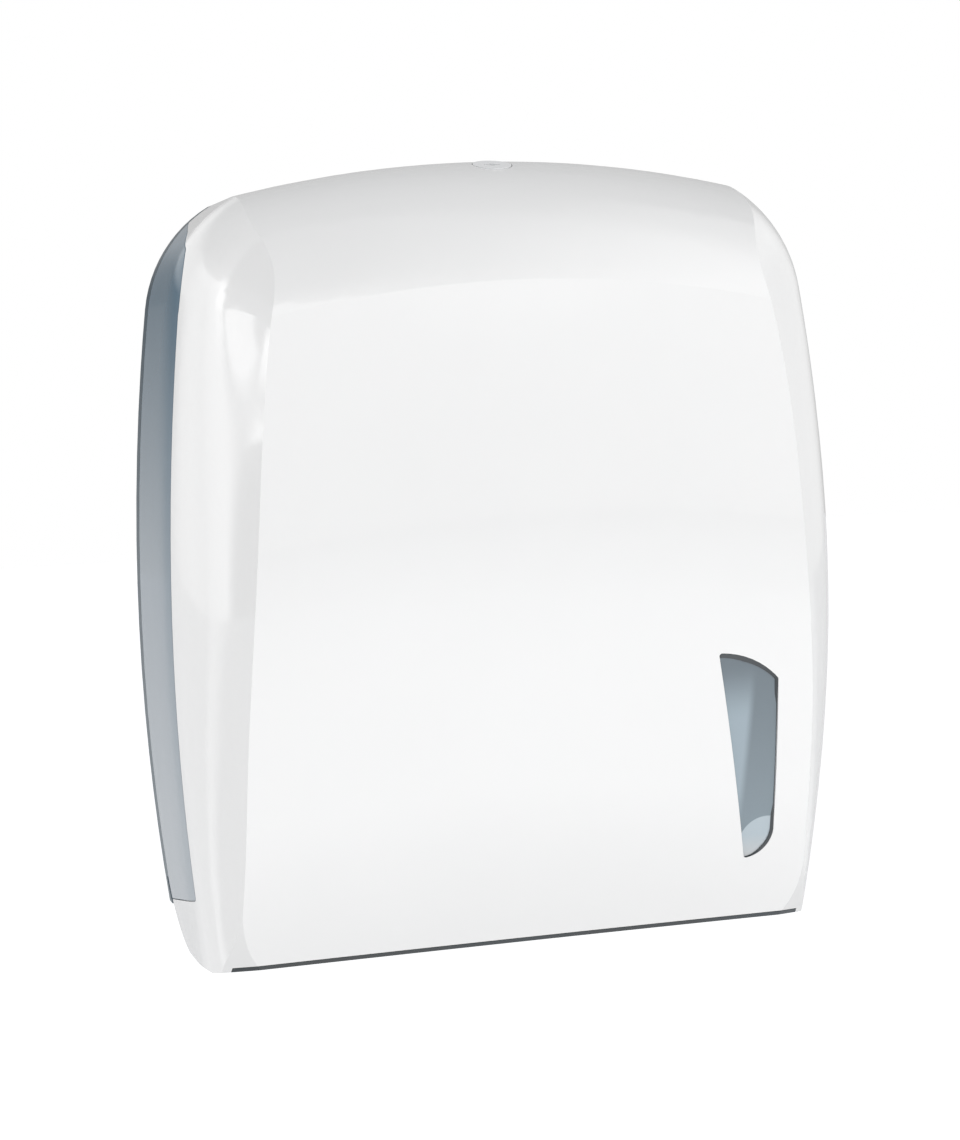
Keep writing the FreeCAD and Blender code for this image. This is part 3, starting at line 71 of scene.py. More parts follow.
# Forms

def sag(radius, x):
    """Drop of a circle from its crest, at a distance from the middle."""
    return radius - np.sqrt(radius ** 2 - x ** 2)


def front_y(x, z, wall):
    """Depth of the front surface, moved in by a wall, at a place of the front."""
    height = z + sag(CROWN_R, x)
    reach = np.sqrt((BELLY_R - wall) ** 2 - (height - BELLY_Z) ** 2)
    return BELLY_R - DEPTH - reach + sag(PLAN_R, x)


def arc_points(start, middle, end):
    """Points of the circle's arc through three points."""
    (ax, az), (bx, bz), (cx, cz) = start, middle, end
    d = 2 * (ax * (bz - cz) + bx * (cz - az) + cx * (az - bz))
    sa, sb, sc = ax * ax + az * az, bx * bx + bz * bz, cx * cx + cz * cz
    ox = (sa * (bz - cz) + sb * (cz - az) + sc * (az - bz)) / d
    oz = (sa * (cx - bx) + sb * (ax - cx) + sc * (bx - ax)) / d
    a0, a1 = math.atan2(az - oz, ax - ox), math.atan2(cz - oz, cx - ox)
    if a1 - a0 > math.pi:
        a1 -= 2 * math.pi
    if a0 - a1 > math.pi:
        a1 += 2 * math.pi
    radius = math.hypot(ax - ox, az - oz)
    angles = np.linspace(a0, a1, ARC_POINTS)
    return np.stack([ox + radius * np.cos(angles), oz + radius * np.sin(angles)], -1)


def make_object(name, points, faces, body):
    """Smooth piece in metres from points in millimetres above the case's bottom edge."""
    shifted = (np.asarray(points, float) - (0, 0, MOUNT_Z)) / 1000
    mesh = bpy.data.meshes.new(name)
    mesh.from_pydata([tuple(p) for p in shifted], [], faces)
    work = bmesh.new()
    work.from_mesh(mesh)
    bmesh.ops.remove_doubles(work, verts=work.verts, dist=WELD)
    bmesh.ops.recalc_face_normals(work, faces=work.faces)
    work.to_mesh(mesh)
    work.free()
    mesh.shade_smooth()
    mesh.set_sharp_from_angle(angle=CREASE)
    piece = bpy.data.objects.new(name, mesh)
    bpy.context.scene.collection.objects.link(piece)
    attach(piece, body)
    return piece


def grid_faces(rows, columns, first=0, closed=False):
    """Quads between rows of points; closed joins each row's end to its start."""
    faces = []
    for row in range(rows - 1):
        for column in range(columns if closed else columns - 1):
            a = first + row * columns + column
            b = first + row * columns + (column + 1) % columns
            faces.append((a, b, b + columns, a + columns))
    return faces


# Sight window

def window_chains(inset):
    """Left and right edge of the window, moved in by an inset, each by rising height."""
    low_corner, top_corner = np.array(WINDOW_LOW[-1]), np.array(WINDOW_TOP[0])
    right = np.concatenate([arc_points(*WINDOW_LOW)[::-1], arc_points(*WINDOW_TOP)[::-1]])
    down = np.linspace(0, 1, SIDE_POINTS + 2)[1:-1, None]
    loop = np.concatenate([right, top_corner + (low_corner - top_corner) * down])
    along = np.roll(loop, -1, 0) - np.roll(loop, 1, 0)
    along /= np.linalg.norm(along, axis=1, keepdims=True)
    inward = np.stack([-along[:, 1], along[:, 0]], -1)
    moved = loop + inward * np.asarray(inset)
    count = len(right)
    left = np.concatenate([moved[count - 1:], moved[:1]])[::-1]
    return left, moved[:count]


def window_rows(inset):
    """Left x, right x and height of level rows across the window."""
    left, right = window_chains(inset)
    low, high = right[:, 1].min(), right[:, 1].max()
    even = (1 - np.cos(np.linspace(0, math.pi, LEVELS))) / 2
    corners = [(p[1] - low) / (high - low) for p in (WINDOW_LOW[0], WINDOW_TOP[-1])]
    heights = low + (high - low) * np.sort(np.concatenate([even, corners]))
    sides = []
    for chain in (left, right):
        order = np.argsort(chain[:, 1])
        sides.append(np.interp(heights, chain[order, 1], chain[order, 0]))
    return np.minimum(*sides), sides[1], heights


def on_front(x, z, depth):
    """Points at a depth under the skin's surface."""
    x, z = np.broadcast_arrays(x, z)
    return np.stack([x, front_y(x, z, depth), z], -1).reshape(-1, 3)


def window_ring(inset, depth):
    """Closed line of points round the window: down its left side and up its right."""
    left, right, heights = window_rows(inset)
    x = np.concatenate([left[::-1], right])
    z = np.concatenate([heights[::-1], heights])
    return on_front(x, z, depth)


def window_sheet(inset, depth):
    """Points across the window in level rows, and how many rows there are."""
    left, right, heights = window_rows(inset)
    share = np.linspace(0, 1, SHEET_COLUMNS)[None]
    x = left[:, None] + (right - left)[:, None] * share
    return on_front(x, heights[:, None], depth), len(heights)


def window_lens():
    """Tinted pane set in the skin's opening, with a bevelled edge."""
    rings = [window_ring(*ring) for ring in (PANE_BACK, PANE_STEP, PANE_FACE)]
    points = np.concatenate(rings)
    faces = grid_faces(len(rings), len(rings[0]), closed=True)
    for side in (PANE_BACK, PANE_FACE):
        sheet, rows = window_sheet(*side)
        faces += grid_faces(rows, SHEET_COLUMNS, len(points))
        points = np.concatenate([points, sheet])
    return make_object("window_lens", points, faces, "cover")


def window_shadow_edge():
    """Darker raised edge along the pane's right side and top corner, thin at its low end: along the top
    it is painted shadow under the opening's edge, along the right the opening's tinted wall.
    """
    count = len(window_chains(0.0)[1])
    insets = np.zeros((count + SIDE_POINTS, 1))
    insets[:count, 0] = np.interp(np.linspace(0, 1, count), EDGE_PLACES, EDGE_WIDTHS)
    inner = window_chains(insets)[1]
    outer = window_chains(EDGE_INSET)[1]
    lines = [(outer, EDGE_OUTER), (inner, EDGE_INNER), (inner, EDGE_BACK), (outer, EDGE_BACK)]
    points = np.stack([on_front(c[:, 0], c[:, 1], depth) for c, depth in lines], 1)
    sides = len(lines)
    faces = grid_faces(count, sides, closed=True)
    last = sides * (count - 1)
    faces += [tuple(range(sides)), tuple(range(last, last + sides))]
    return make_object("window_shadow_edge", points.reshape(-1, 3), faces, "cover")


# Screws

def pan_screw(radius, length):
    """Pan-head screw with a cross recess: head above the origin, shank below it."""
    dome = np.concatenate([np.linspace(0, 0.68, 18), np.linspace(0.74, 0.94, 4)])
    profile = [(HEAD_R * r, HEAD_H * (1 - DOME_DROP * r * r)) for r in dome]
    profile += [(HEAD_R, HEAD_H * RIM_SHARE), (HEAD_R, 0.0), (radius, 0.0)]
    turns = int(length / THREAD_PITCH)
    for turn in range(turns):
        top = -length * (turn + 0.5) / (turns + 1)
        profile += [(radius, top), (radius * ROOT_SHARE, top - THREAD_STEP)]
    profile += [(radius * TIP_SHARE, -length + TIP_LENGTH), (0.0, -length)]
    angles = np.linspace(0, 2 * math.pi, SCREW_COLUMNS, endpoint=False)
    points = []
    for r, z in profile:
        x, y = r * np.cos(angles), r * np.sin(angles)
        beside = np.minimum(np.abs(x), np.abs(y))
        sunk = (z > 0) & (r < RECESS_REACH * HEAD_R) & (beside < RECESS_WIDTH * HEAD_R)
        points.append(np.stack([x, y, np.where(sunk, z - RECESS_DEPTH * HEAD_H, z)], -1))
    return np.concatenate(points), grid_faces(len(profile), SCREW_COLUMNS, closed=True)


def screw_piece(node, body, places, length, radius=SHANK_R):
    """One piece with every screw of a node: each place has a head seat and a direction."""
    points, faces = pan_screw(radius, length)
    all_points, all_faces = [], []
    for seat, direction in places:
        turn = Vector((0, 0, 1)).rotation_difference(Vector(direction)).to_matrix()
        start = len(all_points) * len(points)
        all_points.append(points @ np.array(turn).T + seat)
        all_faces += [tuple(i + start for i in face) for face in faces]
    piece = make_object(node + "_detail", np.concatenate(all_points), all_faces, body)
    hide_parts(node)
    return piece


def skin_screw_places():
    """Seats on flats just under the shell's inside, with the heads towards the wall."""
    places = []
    for x in (-66.0, 66.0):
        for z in (150.0, 215.0):
            seat = min(float(front_y(x, z + step, COVER_WALL)) for step in (-SPOT_R, SPOT_R))
            places.append(((x, seat, z), (0, 1, 0)))
    return places


def lock_place(height):
    """Place on the lock's axis, at a height over the disc's face, with the way inwards."""
    joint = next(j for j in frame["record"]["behaviour"]["joints"] if j["name"] == "lock_turn")
    axis = np.array(joint["axis"])
    return np.array(joint["pos_m"]) * 1000 + (0, 0, MOUNT_Z) + axis * height, -axis


def screws():
    """Detailed screws in place of the plain ones; most have their heads towards the room."""
    room = (0, -1, 0)
    tray = [((x, -5.7, 26.8), room) for x in (-88, -30, 30, 88)]
    guides = [((x, -5.5, z), room) for x in (-110.5, 110.5) for z in (58, 146, 234)]
    keeper = [((0, -5.0, z), room) for z in (279.1, 292.1)]
    return [
        screw_piece("tray_screws", "wall_unit", tray, 4.9),
        screw_piece("guide_screws", "wall_unit", guides, 4.7),
        screw_piece("keeper_screws", "wall_unit", keeper, 4.5),
        screw_piece("skin_screws", "cover", skin_screw_places(), 3.9),
        screw_piece("cam_screw", "lock", [lock_place(-24.8)], 8.0, CAM_SHANK_R),
    ]


# Nodes of the materials and the studio

NOISE_DETAIL, NOISE_SPAN = 3.0, (0.3, 0.7)
WHITE = (1.0, 1.0, 1.0)


def grey(share):
    return (share, share, share)


def feed(tree, value, socket):
    """Links an output to a socket, or sets the socket to a number or a colour."""
    if isinstance(value, bpy.types.NodeSocket):
        tree.links.new(value, socket)
    elif isinstance(value, tuple):
        socket.default_value = (*value, 1)
    else:
        socket.default_value = value


def axes(tree, kind):
    """X, Y and Z of one kind of texture coordinates."""
    coords = tree.nodes.new("ShaderNodeTexCoord")
    split = tree.nodes.new("ShaderNodeSeparateXYZ")
    tree.links.new(coords.outputs[kind], split.inputs["Vector"])
    return [split.outputs[name] for name in "XYZ"]


def noise(tree, scale, stretch=None):
    """Soft noise over the object's own coordinates, which stretch multiplies."""
    source = tree.nodes.new("ShaderNodeTexCoord").outputs["Object"]
    if stretch:
        mapping = tree.nodes.new("ShaderNodeMapping")
        mapping.inputs["Scale"].default_value = stretch
        tree.links.new(source, mapping.inputs["Vector"])
        source = mapping.outputs["Vector"]
    node = tree.nodes.new("ShaderNodeTexNoise")
    node.inputs["Scale"].default_value = scale
    node.inputs["Detail"].default_value = NOISE_DETAIL
    tree.links.new(source, node.inputs["Vector"])
    return node.outputs["Fac"]


def maths(tree, operation, *values):
    """Math node on sockets or numbers."""
    node = tree.nodes.new("ShaderNodeMath")
    node.operation = operation
    for socket, value in zip(node.inputs, values):
        feed(tree, value, socket)
    return node.outputs["Value"]


def times(tree, first, *others):
    """Product of two or more sockets or numbers."""
    for other in others:
        first = maths(tree, "MULTIPLY", first, other)
    return first


def spread(tree, source, low, high, to_low=0.0, to_high=1.0, smooth=False):
    """Maps a span of a value to another span, held at the ends."""
    node = tree.nodes.new("ShaderNodeMapRange")
    if smooth:
        node.interpolation_type = "SMOOTHSTEP"
    for name, value in (("From Min", low), ("From Max", high), ("To Min", to_low), ("To Max", to_high)):
        node.inputs[name].default_value = value
    tree.links.new(source, node.inputs["Value"])
    return node.outputs["Result"]


def fall(tree, source, low, high, smooth=False):
    """1 below a span of a value and 0 above it."""
    return spread(tree, source, low, high, 1.0, 0.0, smooth)


def band(tree, source, start, end):
    """1 within a band of a value, which starts and ends over a span."""
    return times(tree, spread(tree, source, *start), fall(tree, source, *end))


def mixed(tree, share, first, second, blend="MIX"):
    """Colour between two colours or sockets."""
    node = tree.nodes.new("ShaderNodeMix")
    node.data_type = "RGBA"
    node.blend_type = blend
    feed(tree, share, node.inputs["Factor"])
    for name, value in (("A", first), ("B", second)):
        feed(tree, value, next(s for s in node.inputs if s.name == name and s.type == "RGBA"))
    return next(s for s in node.outputs if s.type == "RGBA")


def ramp(tree, source, stops):
    """Colour by a value from 0 to 1, from stops of a place and a colour."""
    node = tree.nodes.new("ShaderNodeValToRGB")
    tree.links.new(source, node.inputs["Fac"])
    elements = node.color_ramp.elements
    while len(elements) < len(stops):
        elements.new(0.5)
    for element, (at, color) in zip(elements, stops):
        element.position = at
        element.color = (*color, 1)
    return node.outputs["Color"]


# Materials

# Tinted pieces, in metres from the origin: the span of painted shading over the height, paler at the
# foot and darker at the top, the foot's edge.
TINT_SHADING_SPAN, FOOT_EDGE, FOOT_COLOR = (-0.12, 0.125), (-0.168, -0.166), (0.045, 0.05, 0.052)
DRIFT_STRETCH, DRIFT_DARKER, DRIFT_SHARE = (1, 1, 0.25), 0.92, 0.12
# Pane: its painted shading, paler downwards and darker upwards, the painted highlight band down its
# left, and its pale foot, a painted reflection of the floor, which ends above at a level line and, in
# the right corner, at a circle.
PANE_SHADING_SPAN, PANE_SHADING_LOW, PANE_SHADING_TOP = (-0.13, -0.06), (0.225, 0.285, 0.325), (0.135, 0.175, 0.205)
HIGHLIGHT_LEAN, HIGHLIGHT_EDGE, HIGHLIGHT_TOP = 0.04, (0.0955, 0.0995), (-0.060, -0.086)
HIGHLIGHT_COLOR = (0.34, 0.42, 0.475)
FOOT_REFLECTION_LEVEL, FOOT_REFLECTION_CENTRE, FOOT_REFLECTION_RADIUS = (-0.1368, -0.1376), (0.10496, -0.1407), (0.0116, 0.0120)
FOOT_REFLECTION_SPAN, FOOT_REFLECTION_LOW, FOOT_REFLECTION_TOP = (-0.147, -0.137), (0.58, 0.6, 0.61), (0.48, 0.56, 0.61)


def new_material(name, color, rough, **sockets):
    material = bpy.data.materials.new(name)
    material.use_nodes = True
    tree = material.node_tree
    shader = tree.nodes["Principled BSDF"]
    shader.inputs["Base Color"].default_value = (*color, 1)
    shader.inputs["Roughness"].default_value = rough
    for key, value in sockets.items():
        shader.inputs[key.replace("_", " ")].default_value = value
    return material, tree, shader


def vary(tree, shader, color, drift, scale, stretch=None):
    """Colour that drifts a little over the surface."""
    low = [max(c - drift, 0) for c in color]
    high = [min(c + drift, 1) for c in color]
    shade = ramp(tree, noise(tree, scale, stretch), list(zip(NOISE_SPAN, (low, high))))
    tree.links.new(shade, shader.inputs["Base Color"])


def vary_rough(tree, shader, low, high, scale, stretch=None):
    rough = spread(tree, noise(tree, scale, stretch), 0.0, 1.0, low, high)
    tree.links.new(rough, shader.inputs["Roughness"])


def bump(tree, shader, scale, strength, distance, stretch=None):
    node = tree.nodes.new("ShaderNodeBump")
    node.inputs["Strength"].default_value = strength
    node.inputs["Distance"].default_value = distance
    tree.links.new(noise(tree, scale, stretch), node.inputs["Height"])
    tree.links.new(node.outputs["Normal"], shader.inputs["Normal"])


def white_plastic():
    color = (0.866, 0.864, 0.858)
    material, tree, shader = new_material("white_plastic", color, 0.1, Coat_Weight=1.0,
                                          Coat_Roughness=0.02, Coat_IOR=1.6)
    vary(tree, shader, color, 0.005, 14)
    vary_rough(tree, shader, 0.12, 0.2, 60)
    bump(tree, shader, 45, 0.04, 0.0002)
    return material


def tinted(name, low, top, rough, **sockets):
    """Smoky plastic with painted shading from a pale low colour to a dark top colour, with a dark edge
    along the foot.
    """
    material, tree, shader = new_material(name, low, rough, **sockets)
    z = axes(tree, "Object")[2]
    # Painted shading: paler towards the foot, darker towards the top.
    shade = mixed(tree, spread(tree, z, *TINT_SHADING_SPAN), low, top)
    shade = mixed(tree, spread(tree, z, *FOOT_EDGE), FOOT_COLOR, shade)
    drift = spread(tree, noise(tree, 18, DRIFT_STRETCH), *NOISE_SPAN)
    darker = tuple(DRIFT_DARKER * c for c in top)
    shade = mixed(tree, times(tree, drift, DRIFT_SHARE), shade, darker)
    tree.links.new(shade, shader.inputs["Base Color"])
    vary_rough(tree, shader, rough - 0.02, rough + 0.03, 50)
    bump(tree, shader, 60, 0.03, 0.0002)
    return material


def lens_plastic():
    """Tinted pane with painted light: painted shading darker upwards, a painted highlight band down its
    left, and a pale foot that is a painted reflection of the floor.
    """
    material, tree, shader = new_material("lens_plastic", (0.25, 0.3, 0.33), 0.08, IOR=1.5)
    x, _, z = axes(tree, "Object")
    # Painted shading: paler towards the foot, darker upwards.
    shade = mixed(tree, spread(tree, z, *PANE_SHADING_SPAN), PANE_SHADING_LOW, PANE_SHADING_TOP)
    # Painted highlight: a pale band down the pane's left, fading out upwards.
    lean = maths(tree, "SUBTRACT", x, times(tree, z, HIGHLIGHT_LEAN))
    pale = times(tree, fall(tree, lean, *HIGHLIGHT_EDGE, smooth=True),
                 spread(tree, z, *HIGHLIGHT_TOP, smooth=True))
    shade = mixed(tree, pale, shade, HIGHLIGHT_COLOR)
    # Painted reflection of the floor: the pale foot, below a level line and inside a circle at the
    # right corner.
    squares = [maths(tree, "POWER", maths(tree, "SUBTRACT", place, middle), 2.0)
               for place, middle in zip((x, z), FOOT_REFLECTION_CENTRE)]
    away = maths(tree, "SQRT", maths(tree, "ADD", *squares))
    foot_reflection = maths(tree, "MAXIMUM", fall(tree, away, *FOOT_REFLECTION_RADIUS), spread(tree, z, *FOOT_REFLECTION_LEVEL))
    foot_reflection_colour = mixed(tree, spread(tree, z, *FOOT_REFLECTION_SPAN), FOOT_REFLECTION_LOW, FOOT_REFLECTION_TOP)
    tree.links.new(mixed(tree, foot_reflection, shade, foot_reflection_colour), shader.inputs["Base Color"])
    vary_rough(tree, shader, 0.05, 0.1, 50)
    bump(tree, shader, 60, 0.03, 0.0002)
    return material


def satin(name, color, rough, grain=900):
    """Plain moulded plastic with a fine grain."""
    material, tree, shader = new_material(name, color, rough)
    vary(tree, shader, color, 0.012, 25)
    vary_rough(tree, shader, rough - 0.05, rough + 0.05, 90)
    bump(tree, shader, grain, 0.12, 0.0001)
    return material


def steel(name, color, rough, stretch):
    """Metal with marks drawn out along the axes that stretch leaves small."""
    material, tree, shader = new_material(name, color, rough, Metallic=1.0)
    vary(tree, shader, color, 0.04, 40, stretch)
    vary_rough(tree, shader, rough - 0.07, rough + 0.07, 120, stretch)
    bump(tree, shader, 300, 0.1, 0.00005, stretch)
    return material


def dress():
    """Gives every node and piece its material."""
    slots = {
        "white_plastic": white_plastic(),
        "tinted_plastic": tinted("tinted_plastic", (0.4, 0.445, 0.485), (0.055, 0.125, 0.185), 0.08),
        "tray_plastic": satin("tray_plastic", (0.62, 0.64, 0.66), 0.4),
        "lip_plastic": satin("lip_plastic", (0.8, 0.81, 0.82), 0.25),
        "bush_plastic": satin("bush_plastic", (0.78, 0.76, 0.7), 0.45),
        "lock_plastic": satin("lock_plastic", (0.84, 0.845, 0.85), 0.14, 300),
        "lock_metal": steel("lock_metal", (0.72, 0.73, 0.75), 0.18, (1, 1, 6)),
        "plated_steel": steel("plated_steel", (0.66, 0.67, 0.68), 0.3, (1, 8, 1)),
        "pin_steel": steel("pin_steel", (0.6, 0.61, 0.63), 0.25, (8, 1, 1)),
        "screw_steel": steel("screw_steel", (0.62, 0.63, 0.65), 0.28, (1, 1, 4)),
    }
    # The back plate's rim: darker smoky plastic, with the same painted shading over the height.
    rim = tinted("rim_plastic", (0.15, 0.185, 0.21), (0.03, 0.055, 0.075), 0.3,
                 Specular_IOR_Level=0.1)
    own = {"back_plate": rim}
    for part in frame["record"]["subparts"]:
        node = frame["nodes"][part["node"]]
        node.data.materials.clear()
        node.data.materials.append(own.get(part["node"], slots[part["material_slot"]]))
    window_lens().data.materials.append(lens_plastic())
    # Near-black plastic for the window's dark edge, which along the top is painted shadow.
    shadow_edge_plastic = satin("shadow_edge_plastic", (0.03, 0.038, 0.044), 0.12, 300)
    window_shadow_edge().data.materials.append(shadow_edge_plastic)
    for piece in screws():
        piece.data.materials.append(slots["screw_steel"])


dress()


# Camera: its turns, how far it stands off, and the focal length in the picture's own pixels

YAW, PITCH, ROLL = math.radians(17.0), math.radians(7.32), math.radians(-1.54)
REACH, SHIFT_X, AIM_Z = 1.22334, -0.00862, -0.02759
FOCAL, PICTURE_WIDTH, SENSOR_WIDTH = 2752.11, 960, 36.0


def make_camera():
    right = Vector((math.cos(YAW), -math.sin(YAW), 0))
    up = Vector((math.sin(YAW) * math.sin(PITCH), math.cos(YAW) * math.sin(PITCH), math.cos(PITCH)))
    ahead = Vector((math.sin(YAW) * math.cos(PITCH), math.cos(YAW) * math.cos(PITCH), -math.sin(PITCH)))
    place = Vector((0, 0, AIM_Z)) - ahead * REACH - right * SHIFT_X
    image_right = right * math.cos(ROLL) + up * math.sin(ROLL)
    image_up = up * math.cos(ROLL) - right * math.sin(ROLL)
    data = bpy.data.cameras.new("camera")
    data.sensor_fit = "HORIZONTAL"
    data.sensor_width = SENSOR_WIDTH
    data.lens = FOCAL / PICTURE_WIDTH * SENSOR_WIDTH
    camera = bpy.data.objects.new("camera", data)
    turn = Matrix((image_right, image_up, -ahead)).transposed().to_4x4()
    camera.matrix_world = Matrix.Translation(place) @ turn
    bpy.context.scene.collection.objects.link(camera)
    bpy.context.scene.camera = camera


make_camera()


# Studio

# Greys by height: 0 is straight down, 0.5 level and 1 straight up.
FRONT_LEFT = ((0.0, 0.7), (0.5, 0.72), (0.58, 0.76), (0.638, 0.95), (0.645, 0.42), (0.72, 0.24),
              (1.0, 0.16))
FRONT_RIGHT = ((0.0, 0.7), (0.5, 0.72), (0.58, 0.76), (0.638, 0.9), (0.68, 0.86), (0.8, 0.7),
               (0.9, 0.5), (1.0, 0.2))
BEHIND_LEFT = ((0.4, 0.6), (0.44, 0.55), (0.52, 0.25), (0.56, 0.25), (0.59, 0.8), (0.69, 0.75),
               (0.76, 0.4), (0.9, 0.3), (1.0, 0.2))
BEHIND_RIGHT = ((0.3, 0.28), (0.5, 0.45), (0.65, 0.42), (0.72, 0.4), (1.0, 0.2))
# Greys round the object: a quarter turn each from the right (0) to the back (0.25), the left
# (0.5), the viewer (0.75) and the right again (1).
ROUND = ((0.0, 0.5), (0.2, 0.5), (0.4, 0.45), (0.47, 0.45), (0.49, 0.56), (0.518, 0.66),
         (0.53, 0.1), (0.66, 0.08), (0.69, 0.64), (0.755, 0.72), (0.83, 0.92), (0.87, 0.92),
         (0.93, 0.6), (1.0, 0.5))
# Directions: spans of x (right), y (to the wall) and z (up), and of the angle in radians.
TILTS = ((0.04, 0.29, -0.18, 0.0), (0.3, 0.46, 0.0, -0.1))
TO_RIGHT, TO_LEFT, TO_BACK = (0.12, 0.5), (0.1, -0.15), (0.0, 0.12)
BACK_START, BACK_END = (-0.75, -0.45), (0.6, 0.85)
CARD_START, CARD_END, CARD_LOW = (0.17, 0.2), (1.1, 1.2), (0.13, 0.15)
CARD_SLOPE, CARD_TOP, CARD_GREY = 0.25, (0.225, 0.24), 0.58
WEDGE_START, WEDGE_END, WEDGE_LOW = (0.03, 0.07), (0.15, 0.17), (0.2, 0.28)
WEDGE_TOP, WEDGE_GREY = (0.44, 0.52), 0.72
# Diffuse light by height, and white again towards both sides.
SOFT = ((0.0, WHITE), (0.55, WHITE), (0.75, (0.74, 0.75, 0.77)), (1.0, (0.68, 0.69, 0.71)))
SOFT_SIDES = (0.45, 0.8)
LEFT_END, LEFT_LIFT = (-0.9, -0.6), 0.1
GLOSSY_GAIN, LEFT_GAIN = 1.6, 1.5
# Floor and its light in metres.
FLOOR_Z, FLOOR_REACH, FLOOR_COLOR, SHOWN_GLOW = -0.75, 6.0, (0.9, 0.9, 0.9), 0.35
AHEAD_NEAR, AHEAD_FAR = (-0.9, -0.2, 1.35, 0.0), (-5.5, -1.6, 0.45, 1.0)
AHEAD_START, AHEAD_ROUND = (1.1, 1.22), (1.5, 2.1, 0.8, 1.1)
LINE_Y, LINE_SLOPE, LINE_NEAR = 0.68, 0.127, 0.3
LINE_RISE, LINE_DROP, LINE_END = (-0.15, 0.0, 0.0, 0.65), (0.08, 0.18, 0.0, 0.45), (0.8, 1.4)
LAMP_AIM = Vector((0, 0, -0.02))


def area_light(name, place, size, power):
    """Soft lamp that shows neither itself nor its mirror image."""
    data = bpy.data.lights.new(name, "AREA")
    data.shape = "RECTANGLE"
    data.size, data.size_y = size
    data.energy = power
    lamp = bpy.data.objects.new(name, data)
    lamp.location = place
    lamp.rotation_euler = (LAMP_AIM - lamp.location).to_track_quat("-Z", "Y").to_euler()
    lamp.visible_camera = False
    lamp.visible_glossy = False
    bpy.context.scene.collection.objects.link(lamp)


def azimuth(tree, x, y):
    """Angle round the object: 0 at its left, a quarter turn towards the viewer."""
    return maths(tree, "ARCTAN2", times(tree, y, -1.0), times(tree, x, -1.0))


def grey_ramp(tree, source, stops):
    return ramp(tree, source, [(at, grey(share)) for at, share in stops])


def sky(tree):
    """What gloss shows by direction: pale round the front, grey above, dim behind the wall."""
    x, y, z = axes(tree, "Generated")
    around = azimuth(tree, x, y)
    tilt = maths(tree, "ADD", *(spread(tree, x, *span) for span in TILTS))
    height = spread(tree, z, -1.0, 1.0)
    front_height = spread(tree, maths(tree, "ADD", z, tilt), -1.0, 1.0)
    front = mixed(tree, spread(tree, x, *TO_RIGHT), grey_ramp(tree, front_height, FRONT_LEFT),
                  grey_ramp(tree, front_height, FRONT_RIGHT))
    behind = mixed(tree, spread(tree, x, *TO_LEFT), grey_ramp(tree, height, BEHIND_RIGHT),
                   grey_ramp(tree, height, BEHIND_LEFT))
    back = times(tree, spread(tree, y, *TO_BACK), band(tree, x, BACK_START, BACK_END))
    cards = grey_ramp(tree, spread(tree, around, -math.pi, math.pi), ROUND)
    light = mixed(tree, 1.0, mixed(tree, back, front, behind), cards, "MULTIPLY")
    slope = maths(tree, "SUBTRACT", z, times(tree, around, CARD_SLOPE))
    card = times(tree, band(tree, around, CARD_START, CARD_END), spread(tree, z, *CARD_LOW),
                 fall(tree, slope, *CARD_TOP))
    wedge = times(tree, band(tree, around, WEDGE_START, WEDGE_END),
                  band(tree, z, WEDGE_LOW, WEDGE_TOP))
    light = mixed(tree, card, light, grey(CARD_GREY))
    return mixed(tree, wedge, light, grey(WEDGE_GREY))


def rays(tree):
    """Is it a glossy ray, and is it one that shows the background: camera or transmission."""
    path = tree.nodes.new("ShaderNodeLightPath")
    shown = maths(tree, "MAXIMUM", path.outputs["Is Camera Ray"], path.outputs["Is Transmission Ray"])
    return path.outputs["Is Glossy Ray"], shown


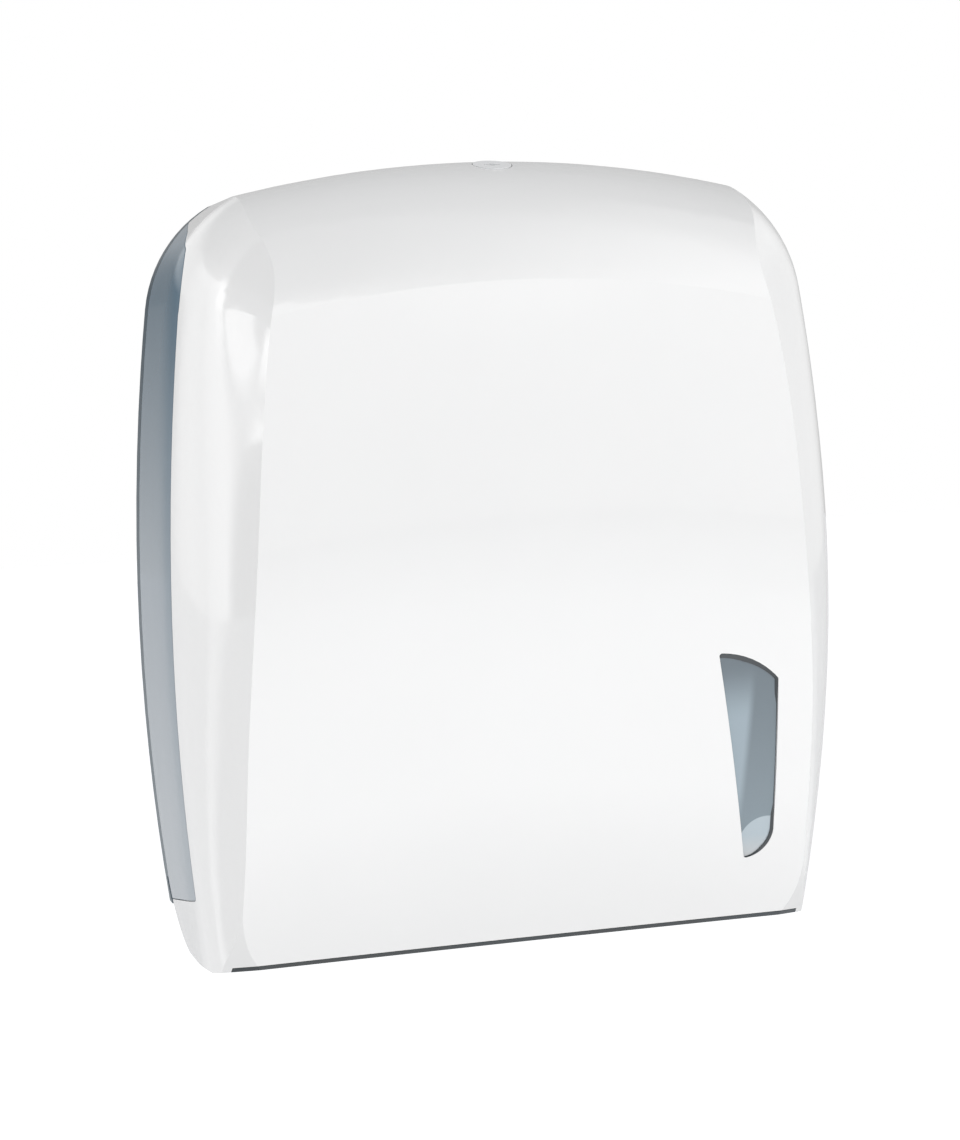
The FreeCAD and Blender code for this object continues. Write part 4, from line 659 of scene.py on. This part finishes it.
def make_world():
    """Soft light for diffuse rays, the studio for glossy ones, white where it is seen."""
    world = bpy.data.worlds.new("studio")
    bpy.context.scene.world = world
    world.use_nodes = True
    tree = world.node_tree
    tree.nodes.clear()
    glossy, shown = rays(tree)
    x, _, z = axes(tree, "Generated")
    aside = spread(tree, maths(tree, "ABSOLUTE", x), *SOFT_SIDES)
    soft = mixed(tree, aside, ramp(tree, spread(tree, z, -1.0, 1.0), SOFT), WHITE)
    color = mixed(tree, glossy, soft, sky(tree))
    color = mixed(tree, shown, color, WHITE)
    left = fall(tree, x, *LEFT_END)
    gain = maths(tree, "ADD", GLOSSY_GAIN, times(tree, left, LEFT_GAIN))
    lift = maths(tree, "ADD", 1.0, times(tree, left, LEFT_LIFT))
    lift = maths(tree, "ADD", lift, times(tree, glossy, gain))
    over = times(tree, shown, maths(tree, "SUBTRACT", lift, 1.0))
    glow = tree.nodes.new("ShaderNodeBackground")
    tree.links.new(color, glow.inputs["Color"])
    tree.links.new(maths(tree, "SUBTRACT", lift, over), glow.inputs["Strength"])
    out = tree.nodes.new("ShaderNodeOutputWorld")
    tree.links.new(glow.outputs["Background"], out.inputs["Surface"])


def floor_reflection(tree):
    """What gloss shows of the floor: light in front of the object and along a line beside it."""
    x, y = axes(tree, "Object")[:2]
    around = azimuth(tree, x, y)
    ahead = times(tree, spread(tree, y, *AHEAD_NEAR), spread(tree, around, *AHEAD_START),
                  spread(tree, around, *AHEAD_ROUND), spread(tree, y, *AHEAD_FAR))
    line = maths(tree, "ADD", LINE_Y, times(tree, x, LINE_SLOPE))
    away = maths(tree, "DIVIDE", maths(tree, "SUBTRACT", y, line),
                 maths(tree, "MAXIMUM", times(tree, x, -1.0), LINE_NEAR))
    beside = maths(tree, "SUBTRACT", spread(tree, away, *LINE_RISE), spread(tree, away, *LINE_DROP))
    return maths(tree, "MAXIMUM", ahead, times(tree, beside, fall(tree, away, *LINE_END)))


def make_floor():
    corners = [(x * FLOOR_REACH, y * FLOOR_REACH, FLOOR_Z)
               for x, y in ((-1, -1), (1, -1), (1, 1), (-1, 1))]
    mesh = bpy.data.meshes.new("floor")
    mesh.from_pydata(corners, [], [(0, 1, 2, 3)])
    floor = bpy.data.objects.new("floor", mesh)
    bpy.context.scene.collection.objects.link(floor)
    material, tree, shader = new_material("floor", FLOOR_COLOR, 0.7)
    vary(tree, shader, FLOOR_COLOR, 0.01, 3)
    glossy, shown = rays(tree)
    glow = maths(tree, "MAXIMUM", times(tree, shown, SHOWN_GLOW),
                 times(tree, glossy, floor_reflection(tree)))
    shader.inputs["Emission Color"].default_value = (*WHITE, 1)
    tree.links.new(glow, shader.inputs["Emission Strength"])
    mesh.materials.append(material)


area_light("key", (-1.1, -2.2, 0.6), (1.6, 1.6), 4)
area_light("fill", (1.9, -2.2, 0.1), (1.4, 1.8), 7)
make_world()
make_floor()
bpy.context.scene.view_settings.view_transform = "Standard"
